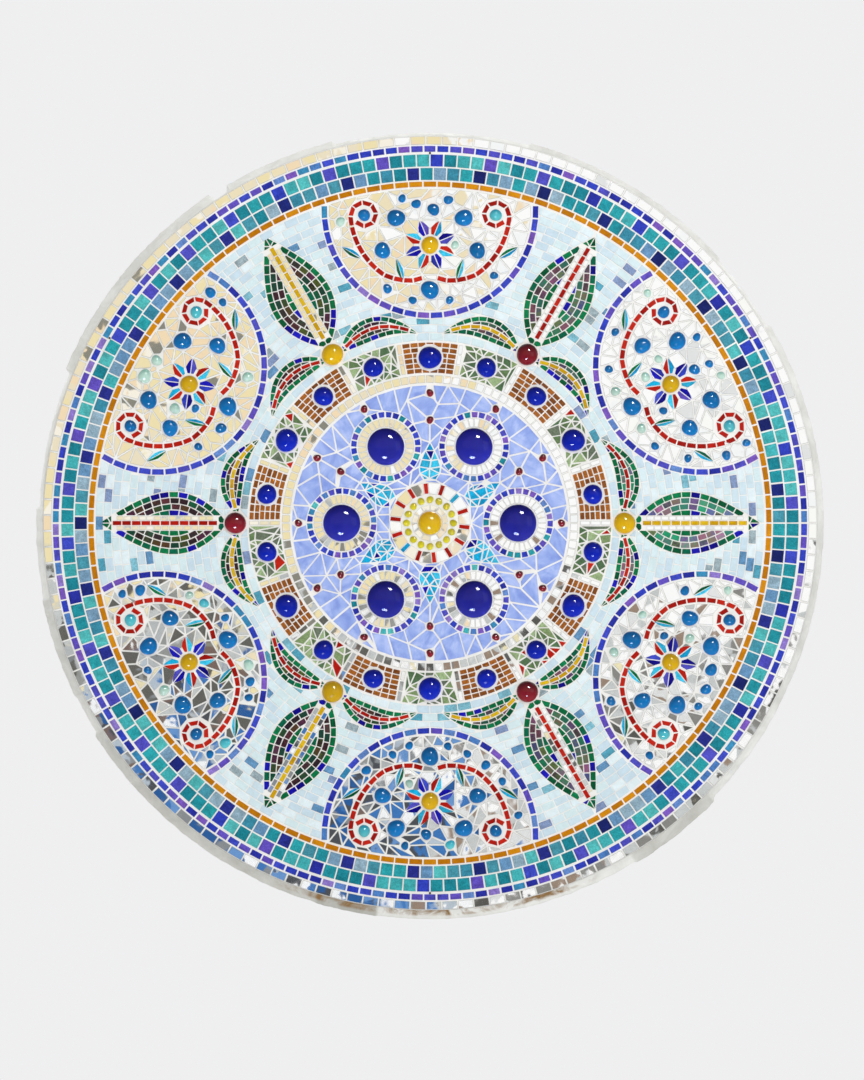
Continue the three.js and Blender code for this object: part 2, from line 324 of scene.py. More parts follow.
@dataclass(frozen=True)
class MirrorGlass(Finish):
    """Silvered float glass: a bright clean reflection, very slightly uneven."""

    name: str = "mirror_glass"
    colour: str = "#fbfbfa"
    ripple_mm: float = 20.0

    def dress(self, tree: bpy.types.NodeTree, shader: bpy.types.Node) -> None:
        """A smooth metal with a faint ripple."""
        place_of = add_node(tree, "TexCoord").outputs["Object"]
        ripple = add_node(tree, "TexNoise", {"Vector": place_of, "Scale": 1 / (self.ripple_mm * MM),
                                             "Detail": 1.0}).outputs["Fac"]
        bump = add_node(tree, "Bump", {"Height": ripple, "Strength": 0.12, "Distance": 0.3 * MM})
        feed(tree, shader, {"Base Color": (*linear(self.colour), 1.0),
                            "Normal": bump.outputs["Normal"], "Metallic": 1.0, "Roughness": 0.015})


@dataclass(frozen=True)
class NippedEdge(Finish):
    """The nipped sides of a glass piece, a paler broken face that catches the light."""

    name: str
    colour: str
    roughness: float = 0.3

    def dress(self, tree: bpy.types.NodeTree, shader: bpy.types.Node) -> None:
        """Grain the broken glass."""
        place_of = add_node(tree, "TexCoord").outputs["Object"]
        chips = add_node(tree, "TexNoise", {"Vector": place_of, "Scale": 1 / (1.2 * MM)}).outputs["Fac"]
        low, high = (tuple(c * k for c in linear(self.colour)) for k in (0.7, 1.1))
        mix = add_node(tree, "Mix", {0: chips, 6: (*low, 1), 7: (*high, 1)}, data_type="RGBA")
        bump = add_node(tree, "Bump", {"Height": chips, "Strength": 0.4, "Distance": 0.4 * MM})
        feed(tree, shader, {"Base Color": mix.outputs[2], "Normal": bump.outputs["Normal"],
                            "Roughness": self.roughness})


@dataclass(frozen=True)
class OpalescentGlass(Finish):
    """Opalescent sheet glass: milky streaks that run through the clear colour."""

    name: str = "opalescent_periwinkle_glass"
    deep: str = "#8097dd"
    middle: str = "#97ade9"
    milky: str = "#b6c6f4"
    streak_mm: float = 48.0

    def dress(self, tree: bpy.types.NodeTree, shader: bpy.types.Node) -> None:
        """Warp the streaks and shift them from shard to shard."""
        place_of = add_node(tree, "TexCoord").outputs["Object"]
        tone = add_node(tree, "Attribute", attribute_name="tone").outputs["Fac"]
        spread = add_node(tree, "Math", {0: tone, 1: 9.0}, operation="MULTIPLY").outputs[0]
        swirl = add_node(tree, "TexNoise", {"Vector": place_of, "W": spread,
                                            "Scale": 1 / (self.streak_mm * MM), "Detail": 4.0,
                                            "Roughness": 0.55, "Distortion": 2.4},
                         noise_dimensions="4D").outputs["Fac"]
        colour = ramp(tree, swirl, [(0.34, self.deep), (0.5, self.middle), (0.68, self.milky)])
        feed(tree, shader, {"Base Color": colour, "Roughness": 0.12, "Specular IOR Level": 0.22})


@dataclass(frozen=True)
class IridescentGlass(Finish):
    """Dark glass with a fumed metal skin that swings from green to purple and copper, with a painted sheen:
    paler copies of its colours towards the panel's right.
    """

    name: str = "iridescent_glass"
    colours: tuple[str, ...] = ("#12302a", "#0c5a3c", "#44222e", "#1a1c20", "#5c2c4a", "#174a2c",
                                "#573a24", "#2a2430", "#4c5a24", "#1e1a1c", "#60303a", "#1a4034")
    # Paler, lit copies of the colours above, for the painted sheen towards the panel's right.
    sheen_lit_colours: tuple[str, ...] = ("#2f8a68", "#1fb07a", "#7f5fa4", "#4a5c5e", "#c072ac", "#38a880",
                                      "#8d7468", "#5a68b8", "#7f9a5c", "#46464f", "#ab6f8a", "#3f8a78")
    sheen_mm: float = 5.0
    # Where the painted sheen starts and where it is fullest, as x across the panel in metres.
    sheen_from_x: float = 0.02
    sheen_to_x: float = 0.42

    def dress(self, tree: bpy.types.NodeTree, shader: bpy.types.Node) -> None:
        """Pick each tile's colour, wash it with its neighbours' and blend in the paler painted sheen towards
        the right.
        """
        place_of = add_node(tree, "TexCoord").outputs["Object"]
        tone = add_node(tree, "Attribute", attribute_name="tone").outputs["Fac"]
        wash = add_node(tree, "TexNoise", {"Vector": place_of, "Scale": 1 / (self.sheen_mm * MM),
                                           "Detail": 3.0, "Distortion": 1.5}).outputs["Fac"]
        shifted = add_node(tree, "Math", {0: wash, 1: 0.2, 2: tone}, operation="MULTIPLY_ADD").outputs[0]
        cycle = add_node(tree, "Math", {0: shifted, 1: 1.0}, operation="MODULO").outputs[0]
        last = len(self.colours)
        dark, light = (ramp(tree, cycle, [(i / last, c) for i, c in enumerate(colours)])
                       for colours in (self.colours, self.sheen_lit_colours))
        # Painted sheen: towards the panel's right each tile blends into a paler copy of its colour.
        across = add_node(tree, "SeparateXYZ", {0: place_of}).outputs["X"]
        painted_sheen = add_node(tree, "MapRange", {"Value": across, "From Min": self.sheen_from_x,
                                            "From Max": self.sheen_to_x, "To Max": 0.85}).outputs["Result"]
        colour = add_node(tree, "Mix", {0: painted_sheen, 6: dark, 7: light}, data_type="RGBA").outputs[2]
        feed(tree, shader, {"Base Color": colour, "Metallic": 0.1, "Roughness": 0.2,
                            "Specular IOR Level": 0.14})


@dataclass(frozen=True)
class AventurineGlass(Finish):
    """Glass full of tiny copper flakes that glitter in the brown."""

    name: str
    dark: str = "#60300a"
    light: str = "#ac641e"
    flake_mm: float = 1.4

    def dress(self, tree: bpy.types.NodeTree, shader: bpy.types.Node) -> None:
        """Scatter the flakes as small cells of unlike brightness."""
        place_of = add_node(tree, "TexCoord").outputs["Object"]
        tone = add_node(tree, "Attribute", attribute_name="tone").outputs["Fac"]
        flakes = add_node(tree, "TexVoronoi", {"Vector": place_of, "Scale": 1 / (self.flake_mm * MM)})
        glint = add_node(tree, "RGBToBW", {"Color": flakes.outputs["Color"]}).outputs[0]
        mixed = add_node(tree, "Math", {0: tone, 1: 0.55}, operation="MULTIPLY").outputs[0]
        factor = add_node(tree, "Math", {0: glint, 1: 0.5, 2: mixed}, operation="MULTIPLY_ADD").outputs[0]
        colour = ramp(tree, factor, [(0.15, self.dark), (0.85, self.light)])
        metal = add_node(tree, "MapRange", {"Value": glint, "From Min": 0.55, "From Max": 0.75,
                                            "To Max": 0.55})
        feed(tree, shader, {"Base Color": colour, "Metallic": metal.outputs["Result"],
                            "Roughness": 0.25, "Specular IOR Level": 0.25})


@dataclass(frozen=True)
class GemGlass(Finish):
    """A cast glass gem with painted light: a deep tone at its upper rim and a painted glow low down, as
    light from above would leave it.
    """

    name: str
    deep: str
    # The colour of the painted glow, for the side that faces down.
    painted_glow: str
    cloud_mm: float = 18.0
    gloss: float = 0.45

    def dress(self, tree: bpy.types.NodeTree, shader: bpy.types.Node) -> None:
        """Pass from the deep tone to the painted glow by how far the surface turns down, and cloud it."""
        place_of = add_node(tree, "TexCoord").outputs["Object"]
        tone = add_node(tree, "Attribute", attribute_name="tone").outputs["Fac"]
        facing = add_node(tree, "TexCoord").outputs["Normal"]
        upward = add_node(tree, "SeparateXYZ", {0: facing}).outputs["Z"]
        # Painted shade and glow: the more the surface faces down, the paler it is painted.
        depth = add_node(tree, "MapRange", {"Value": upward, "From Min": 0.75, "From Max": -0.75,
                                            "To Min": -0.2, "To Max": 0.8}).outputs["Result"]
        cloud = add_node(tree, "TexNoise", {"Vector": place_of, "Scale": 1 / (self.cloud_mm * MM),
                                            "Detail": 2.0}).outputs["Fac"]
        cloud_and_painted_glow = add_node(tree, "Math", {0: cloud, 1: 0.3, 2: depth}, operation="MULTIPLY_ADD").outputs[0]
        colour = ramp(tree, cloud_and_painted_glow, [(0.0, self.deep), (1.0, self.painted_glow)])
        gain = add_node(tree, "MapRange", {"Value": tone, "To Min": 0.85, "To Max": 1.12}).outputs["Result"]
        toned = add_node(tree, "VectorMath", {0: colour, "Scale": gain}, operation="SCALE")
        feed(tree, shader, {"Base Color": toned.outputs["Vector"], "Roughness": 0.03, "IOR": 1.52,
                            "Specular IOR Level": self.gloss})


@dataclass(frozen=True)
class Cement(Finish):
    """Sanded cement, floated or trowelled: matt, with fine sand and soft stains."""

    name: str
    light: str
    dark: str
    sand_mm: float = 1.5
    stain_mm: float = 45.0
    relief_mm: float = 0.5

    def dress(self, tree: bpy.types.NodeTree, shader: bpy.types.Node) -> None:
        """Stain the cement and give it sand."""
        place_of = add_node(tree, "TexCoord").outputs["Object"]
        stain = add_node(tree, "TexNoise", {"Vector": place_of, "Scale": 1 / (self.stain_mm * MM),
                                            "Detail": 5.0, "Roughness": 0.6}).outputs["Fac"]
        sand = add_node(tree, "TexNoise", {"Vector": place_of, "Scale": 1 / (self.sand_mm * MM),
                                           "Detail": 3.0, "Roughness": 0.75}).outputs["Fac"]
        blend = add_node(tree, "Math", {0: sand, 1: 0.35, 2: stain}, operation="MULTIPLY_ADD").outputs[0]
        colour = ramp(tree, blend, [(0.42, self.dark), (0.78, self.light)])
        bump = add_node(tree, "Bump", {"Height": sand, "Strength": 0.6, "Distance": self.relief_mm * MM})
        feed(tree, shader, {"Base Color": colour, "Normal": bump.outputs["Normal"], "Roughness": 0.92,
                            "Specular IOR Level": 0.1})


@dataclass(frozen=True)
class TrowelledMortar(Finish):
    """Trowelled cement mortar: matt and smeared, greyer on some stretches and stained with rust on one."""

    name: str = "trowelled_mortar"
    pale: str = "#eeefed"
    grey: str = "#b1b1ab"
    rust: str = "#94744a"
    smear_mm: float = 40.0
    sand_mm: float = 1.8

    def dress(self, tree: bpy.types.NodeTree, shader: bpy.types.Node) -> None:
        """Blend from pale to grey by stretch and smear, then stain and sand it."""
        place_of = add_node(tree, "TexCoord").outputs["Object"]
        shade = add_node(tree, "Attribute", attribute_name="shade").outputs["Fac"]
        stain = add_node(tree, "Attribute", attribute_name="stain").outputs["Fac"]
        smear = add_node(tree, "TexNoise", {"Vector": place_of, "Scale": 1 / (self.smear_mm * MM),
                                            "Detail": 6.0, "Roughness": 0.65,
                                            "Distortion": 0.8}).outputs["Fac"]
        sand = add_node(tree, "TexNoise", {"Vector": place_of, "Scale": 1 / (self.sand_mm * MM),
                                           "Detail": 3.0, "Roughness": 0.75}).outputs["Fac"]
        uneven = add_node(tree, "MapRange", {"Value": smear, "From Min": 0.3, "From Max": 0.7,
                                             "To Min": -0.22, "To Max": 0.22}).outputs["Result"]
        depth = add_node(tree, "Math", {0: shade, 1: uneven}, operation="ADD", use_clamp=True).outputs[0]
        plain = add_node(tree, "Mix", {0: depth, 6: (*linear(self.pale), 1), 7: (*linear(self.grey), 1)},
                         data_type="RGBA").outputs[2]
        blotch = add_node(tree, "MapRange", {"Value": smear, "From Min": 0.42,
                                             "From Max": 0.6}).outputs["Result"]
        rusty = add_node(tree, "Math", {0: stain, 1: blotch}, operation="MULTIPLY").outputs[0]
        colour = add_node(tree, "Mix", {0: rusty, 6: plain, 7: (*linear(self.rust), 1)},
                          data_type="RGBA").outputs[2]
        bump = add_node(tree, "Bump", {"Height": sand, "Strength": 0.5, "Distance": 0.4 * MM})
        feed(tree, shader, {"Base Color": colour, "Normal": bump.outputs["Normal"], "Roughness": 0.92,
                            "Specular IOR Level": 0.1})


@dataclass(frozen=True)
class WeatheredSteel(Finish):
    """Small steel screw heads, dull and nearly black."""

    name: str = "weathered_steel"

    def dress(self, tree: bpy.types.NodeTree, shader: bpy.types.Node) -> None:
        """Mottle the metal."""
        place_of = add_node(tree, "TexCoord").outputs["Object"]
        rust = add_node(tree, "TexNoise", {"Vector": place_of, "Scale": 1 / (1.0 * MM)}).outputs["Fac"]
        colour = ramp(tree, rust, [(0.35, "#1c1917"), (0.7, "#4b3d33")])
        feed(tree, shader, {"Base Color": colour, "Metallic": 0.8, "Roughness": 0.55})


MIRROR = MirrorGlass()
PERIWINKLE = OpalescentGlass()
IRIDESCENT = IridescentGlass()
DASH_BLUE = VitreousGlass("vitreous_royal_blue", ("#2e3eb2", "#3c49bc", "#4c4bb6", "#28309a", "#5d4cb4"))
DASH_STEEL = VitreousGlass("vitreous_steel_blue", ("#4a78b8", "#3884b0", "#6084c4", "#7454b4", "#8672c0"))
TURQUOISE = VitreousGlass("vitreous_turquoise", ("#2a98a2", "#228a98", "#40a6ac", "#1c7c8c", "#4eaeb0"))
SLATE_TEAL = VitreousGlass("vitreous_slate_teal", ("#7396b2", "#448ea2", "#8aa6b8", "#38849e", "#628cb4"))
NAVY = VitreousGlass("vitreous_navy", ("#182262", "#1c2874", "#262e84"))
ORANGE = VitreousGlass("vitreous_orange", ("#be790a", "#b36f07", "#c9840f"), grain=0.15, clouds=0.12)
GOLD = VitreousGlass("vitreous_gold", ("#c9a00e", "#be930a", "#d2ad1a"), grain=0.15, clouds=0.12)
PALE_BLUE = VitreousGlass("vitreous_ice_blue", ("#d0e3ea", "#c7dbe6", "#dae8ee", "#cee2e7", "#c2d7e4"),
                          grain=0.03, clouds=0.05)
ACCENT = VitreousGlass("vitreous_accent", ("#78b0c2", "#5f8cb4", "#5098b0", "#94a6ae", "#7d90b6"))
EMERALD = VitreousGlass("vitreous_emerald", ("#07643a", "#055030", "#0c7446", "#075e44"), roughness=0.15)
COBALT_TILE = VitreousGlass("vitreous_cobalt", ("#130f98", "#0f0a7c", "#1a18ac"), roughness=0.12)
OLIVE = VitreousGlass("vitreous_olive", ("#7f9668", "#5e7750", "#95ac80", "#4f6c4c", "#65715f"))
CYAN = VitreousGlass("vitreous_cyan", ("#16a6d6", "#3cbee4", "#0e90c4", "#2a9fc6"))
RED = VitreousGlass("vitreous_red", ("#ac1b10", "#96140c", "#b82416"), grain=0.12, clouds=0.15,
                    roughness=0.15)
COPPER = AventurineGlass("copper_aventurine")
# Each gem glass: a deep colour, and a paler painted glow for its downward-facing side.
CABOCHON_GLASS = GemGlass("cobalt_cabochon_glass", "#0a0654", "#2e32b6", gloss=0.15)
BLUE_GEM = GemGlass("blue_gem_glass", "#040e6c", "#0c2acc", gloss=0.14)
TEAL_GEM = GemGlass("teal_gem_glass", "#004e84", "#047cc8", gloss=0.22)
SKY_GEM = GemGlass("sky_gem_glass", "#1a8ca4", "#5cd0d8")
AQUA_GEM = GemGlass("aqua_gem_glass", "#7ca69a", "#d0eee2", cloud_mm=7.0)
AMBER_GEM = GemGlass("amber_gem_glass", "#a88402", "#ebba04", gloss=0.22)
SUN_GEM = GemGlass("sun_gem_glass", "#c69602", "#ffd40c", gloss=0.25)
LEMON_GEM = GemGlass("lemon_gem_glass", "#a69a04", "#e8de2c", gloss=0.3)
RUBY_GEM = GemGlass("ruby_gem_glass", "#440410", "#98162a", gloss=0.25)
DASH_MIX = ((DASH_BLUE, 0.75), (DASH_STEEL, 0.25))
MIRROR_EDGE = NippedEdge("mirror_edge", "#b9bfbc")
GROUT = Cement("off_white_grout", "#efeeec", "#e1dfdd", relief_mm=0.3)
MORTAR = TrowelledMortar()
STEEL = WeatheredSteel()


# Pieces


def make_object(name: str, mesh_source: bmesh.types.BMesh, finishes: Sequence[Finish],
                smooth: bool = False) -> bpy.types.Object:
    """Turn a bmesh into an object of the scene with its materials, and free the bmesh."""
    mesh = bpy.data.meshes.new(name)
    mesh_source.to_mesh(mesh)
    mesh_source.free()
    for finish in finishes:
        mesh.materials.append(finish.material())
    if smooth:
        mesh.shade_smooth()
    piece = bpy.data.objects.new(name, mesh)
    bpy.context.scene.collection.objects.link(piece)
    return piece


def lathe(bm: bmesh.types.BMesh, section: Sequence[tuple[float, float]],
          steps: int) -> list[bmesh.types.BMVert]:
    """Spin a closed section round the panel's axis.

    Args:
        bm: the bmesh that the round body is added to.
        section: its points, each a radius and a height from the wall in millimetres.
        steps: the number of steps of the full turn.

    Returns:
        The vertices of the new body.
    """
    known = set(bm.verts)
    line = [bm.verts.new(Vector((r, -h, 0)) * MM) for r, h in section]
    edges = [bm.edges.new(pair) for pair in zip(line, line[1:])]
    bmesh.ops.spin(bm, geom=[*line, *edges], cent=(0, 0, 0), axis=(0, 1, 0), dvec=(0, 0, 0),
                   angle=FULL_TURN, steps=steps, use_merge=True)
    bmesh.ops.remove_doubles(bm, verts=[v for v in bm.verts if v not in known], dist=MERGE_DISTANCE)
    return [v for v in bm.verts if v not in known]


def waver(point: Vector, *waves: tuple[float, float]) -> float:
    """An uneven height in millimetres: some noises, each by its scale and by how high it reaches."""
    return sum(noise.noise(point * pitch) * height for pitch, height in waves)


def register(piece: bpy.types.Object, nodes: Sequence[str] = ()) -> None:
    """Let a piece ride on the panel and the solids it stands for."""
    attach(piece, "root")
    if nodes:
        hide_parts(*nodes)
    LOG.info("%s: %d faces", piece.name, len(piece.data.polygons))


@dataclass
class Tile:
    """One cut piece of glass: its outline, its finish and a number that varies its colour."""

    outline: Polygon
    finish: Finish
    tone: float


@dataclass
class TileBed:
    """A field or course of tiles, built as one piece of closed bevelled slabs."""

    name: str
    slot: str
    dice: random.Random
    chamfer: float = 0.4
    tilt: float = 0.006
    lift: float = 0.12
    smallest: float = 2.6
    shortest_side: float = 0.35
    tiles: list[Tile] = field(default_factory=list)

    def lay(self, outline: Polygon, finish: Finish, tone: float | None = None) -> None:
        """Lay a tile, unless too little of it is left to be worth cutting."""
        if len(outline) < 3 or width(outline) < self.smallest:
            return
        if area(outline) < 0:
            outline = outline[::-1]
        cleaned = [p for p, q in zip(outline, [*outline[1:], outline[0]])
                   if (p - q).length > self.shortest_side]
        if len(cleaned) >= 3:
            self.tiles.append(Tile(cleaned, finish, self.dice.random() if tone is None else tone))

    def build(self, nodes: Sequence[str] = ()) -> bpy.types.Object:
        """Cut every tile from its outline: raise it, chamfer its face and tilt it a little."""
        finishes = list(dict.fromkeys([*(t.finish for t in self.tiles)]))
        mirrored = MIRROR in finishes
        if mirrored:
            finishes.append(MIRROR_EDGE)
        bm = bmesh.new()
        tones = bm.faces.layers.float.new("tone")
        feet = []
        for tile in self.tiles:
            foot = bm.faces.new([bm.verts.new(place(p, BED_THICKNESS)) for p in tile.outline])
            foot[tones] = tile.tone
            foot.material_index = finishes.index(tile.finish)
            feet.append(foot)
        raised = bmesh.ops.extrude_face_region(bm, geom=feet, use_keep_orig=True)["geom"]
        faces = [g for g in raised if isinstance(g, bmesh.types.BMFace)]
        rise = (TILE_FACE - self.chamfer - BED_THICKNESS) * MM
        bmesh.ops.translate(bm, verts=[g for g in raised if isinstance(g, bmesh.types.BMVert)],
                            vec=(0, -rise, 0))
        bmesh.ops.recalc_face_normals(bm, faces=bm.faces)
        bmesh.ops.inset_individual(bm, faces=faces, thickness=self.chamfer * MM,
                                   depth=self.chamfer * MM, use_even_offset=True)
        top = set(faces)
        for face in faces:
            self.tip(face)
        if mirrored:
            silver = finishes.index(MIRROR)
            for face in bm.faces:
                if face.material_index == silver and face not in top:
                    face.material_index = len(finishes) - 1
        piece = make_object(self.name, bm, finishes)
        register(piece, nodes)
        return piece

    def tip(self, face: bmesh.types.BMFace) -> None:
        """Tilt and lift the face of one tile, as a tile set by hand sits."""
        middle = face.calc_center_median()
        lean = Vector((self.dice.gauss(0, self.tilt), 0, self.dice.gauss(0, self.tilt)))
        lift = self.dice.uniform(-self.lift, self.lift) * MM
        for vertex in face.verts:
            vertex.co.y += (vertex.co - middle).dot(lean) + lift


@dataclass
class Gem:
    """A domed glass gem, flat at the back and a little out of round."""

    centre: Vector
    radius: float
    finish: Finish
    rise: float = 0.34
    roundness: float = 0.04


@dataclass
class GemTray:
    """Some gems that are built together as one piece.

    A gem is widest `sunk` under the face of the grout. Its flat back lies `foot` deeper and has
    `back` times its radius. `fullness` holds the powers that shape the dome's width and height, and
    `turns` the number of sides round a gem, by the radius that it stays under.
    """

    name: str
    slot: str
    dice: random.Random
    gems: list[Gem] = field(default_factory=list)
    sunk: float = 0.6
    foot: float = 1.4
    back: float = 0.93
    fullness: tuple[float, float] = (0.8, 1.1)
    turns: tuple[tuple[float, int], ...] = ((9.0, 16), (24.0, 24), (math.inf, 64))

    def build(self, nodes: Sequence[str] = ()) -> bpy.types.Object:
        """Spin each gem from its profile and press it slightly out of round."""
        finishes = list(dict.fromkeys(g.finish for g in self.gems))
        bm = bmesh.new()
        tones = bm.faces.layers.float.new("tone")
        for gem in self.gems:
            before = set(bm.faces)
            self.spin(bm, gem)
            tone = self.dice.random()
            for face in set(bm.faces) - before:
                face[tones] = tone
                face.material_index = finishes.index(gem.finish)
        bmesh.ops.recalc_face_normals(bm, faces=bm.faces)
        piece = make_object(self.name, bm, finishes, smooth=True)
        register(piece, nodes)
        return piece

    def spin(self, bm: bmesh.types.BMesh, gem: Gem) -> None:
        """Add one gem to the bmesh."""
        top = TILE_FACE + 2 * gem.radius * gem.rise
        waist = GROUT_FACE - self.sunk
        wide, tall = self.fullness
        rings = max(5, round(gem.radius / 4) + 2)
        quarter = [math.pi / 2 * i / rings for i in range(1, rings)]
        profile = [(0.0, waist - self.foot), (self.back, waist - self.foot), (1.0, waist)]
        profile += [(math.cos(t) ** wide, waist + (top - waist) * math.sin(t) ** tall) for t in quarter]
        profile.append((0.0, top))
        turns = next(count for limit, count in self.turns if gem.radius < limit)
        fresh = lathe(bm, [(r * gem.radius, h) for r, h in profile], turns)
        phase, second = self.dice.uniform(0, FULL_TURN), self.dice.uniform(0, FULL_TURN)
        for vertex in fresh:
            angle = math.atan2(vertex.co.z, vertex.co.x)
            swell = 1 + gem.roundness * (math.sin(2 * angle + phase) + 0.6 * math.sin(3 * angle + second))
            vertex.co.x, vertex.co.z = vertex.co.x * swell, vertex.co.z * swell
        bmesh.ops.translate(bm, verts=fresh, vec=place(gem.centre, 0.0))


# Ways of laying tiles


def row(path: Sequence[Vector], breadth: float, pitch: float, joint: float,
        dice: random.Random) -> list[Polygon]:
    """Quadrilateral tiles in a row along a path.

    Args:
        path: the middle of the row.
        breadth: the width of the row.
        pitch: the distance from one tile to the next.
        joint: the gap between two tiles.
        dice: the source of the small unevenness of a hand-laid row.

    Returns:
        The outline of each tile.
    """
    stops = resample(path, pitch)
    left, right = sides(stops, breadth / 2), sides(stops, -breadth / 2)
    tiles = []
    for i in range(len(stops) - 1):
        along = (stops[i + 1] - stops[i]).normalized()
        first = along * (joint / 2 + dice.uniform(-HAND_ERROR, HAND_ERROR))
        last = along * (joint / 2 + dice.uniform(-HAND_ERROR, HAND_ERROR))
        tiles.append([right[i] + first, right[i + 1] - last, left[i + 1] - last, left[i] + first])
    return tiles


def arc(centre: Vector, radius: float, start: float, end: float) -> Polygon:
    """Points along an arc, close enough together to look smooth."""
    fewest, spacing = 8, 3.0
    count = max(fewest, round(abs(end - start) * radius / spacing))
    return [centre + polar(radius, start + (end - start) * i / count) for i in range(count + 1)]


@dataclass(frozen=True)
class Course:
    """A round course: its inner and outer radius, the pitch of its tiles and the joint between them."""

    inner: float
    outer: float
    pitch: float
    joint: float

    def tiles(self, centre: Vector, dice: random.Random, start: float = 0.0) -> list[Polygon]:
        """The outlines of its tiles round a centre."""
        path = arc(centre, (self.inner + self.outer) / 2, start, start + FULL_TURN)
        return row(path, self.outer - self.inner, self.pitch, self.joint, dice)


def from_segment(x: float, y: float, start: tuple[float, float], end: tuple[float, float]) -> float:
    """The distance of a point from a straight stretch."""
    (ax, ay), (bx, by) = start, end
    dx, dy = bx - ax, by - ay
    share = max(0.0, min(1.0, ((x - ax) * dx + (y - ay) * dy) / (dx * dx + dy * dy)))
    return math.hypot(x - ax - share * dx, y - ay - share * dy)


@dataclass(frozen=True)
class Outline:
    """A closed outline as a boundary: the distance from it, positive outside it."""

    points: tuple[tuple[float, float], ...]
    far: float = 15.0

    def __call__(self, point: Vector) -> float:
        """The signed distance of a point, or a fair guess where it is far away."""
        x, y = point.x, point.y
        xs, ys = [p[0] for p in self.points], [p[1] for p in self.points]
        beyond = max(min(xs) - x, x - max(xs), min(ys) - y, y - max(ys))
        if beyond > self.far:
            return beyond
        nearest, odd = math.inf, False
        for start, end in zip(self.points, [*self.points[1:], self.points[0]]):
            nearest = min(nearest, from_segment(x, y, start, end))
            (ax, ay), (bx, by) = start, end
            if (ay > y) != (by > y) and x < ax + (y - ay) * (bx - ax) / (by - ay):
                odd = not odd
        return -nearest if odd else nearest


@dataclass(frozen=True)
class Side:
    """One side of a path as a boundary: positive to its left, or to its right for a sign of -1."""

    path: tuple[tuple[float, float], ...]
    sign: float

    def __call__(self, point: Vector) -> float:
        """The signed distance of a point from the nearest stretch of the path."""
        x, y = point.x, point.y
        nearest, signed = math.inf, 0.0
        for start, end in zip(self.path, self.path[1:]):
            gap = from_segment(x, y, start, end)
            if gap < nearest:
                (ax, ay), (bx, by) = start, end
                nearest = gap
                signed = gap if (bx - ax) * (y - ay) - (by - ay) * (x - ax) > 0 else -gap
        return signed * self.sign


def outside_circle(centre: Vector, radius: float) -> Boundary:
    """The outside of a circle as a boundary."""
    return lambda point: (point - centre).length - radius


def inside_circle(centre: Vector, radius: float) -> Boundary:
    """The inside of a circle as a boundary."""
    return lambda point: radius - (point - centre).length


def pairs(points: Sequence[Vector]) -> tuple[tuple[float, float], ...]:
    """Points as plain number pairs."""
    return tuple((p.x, p.y) for p in points)


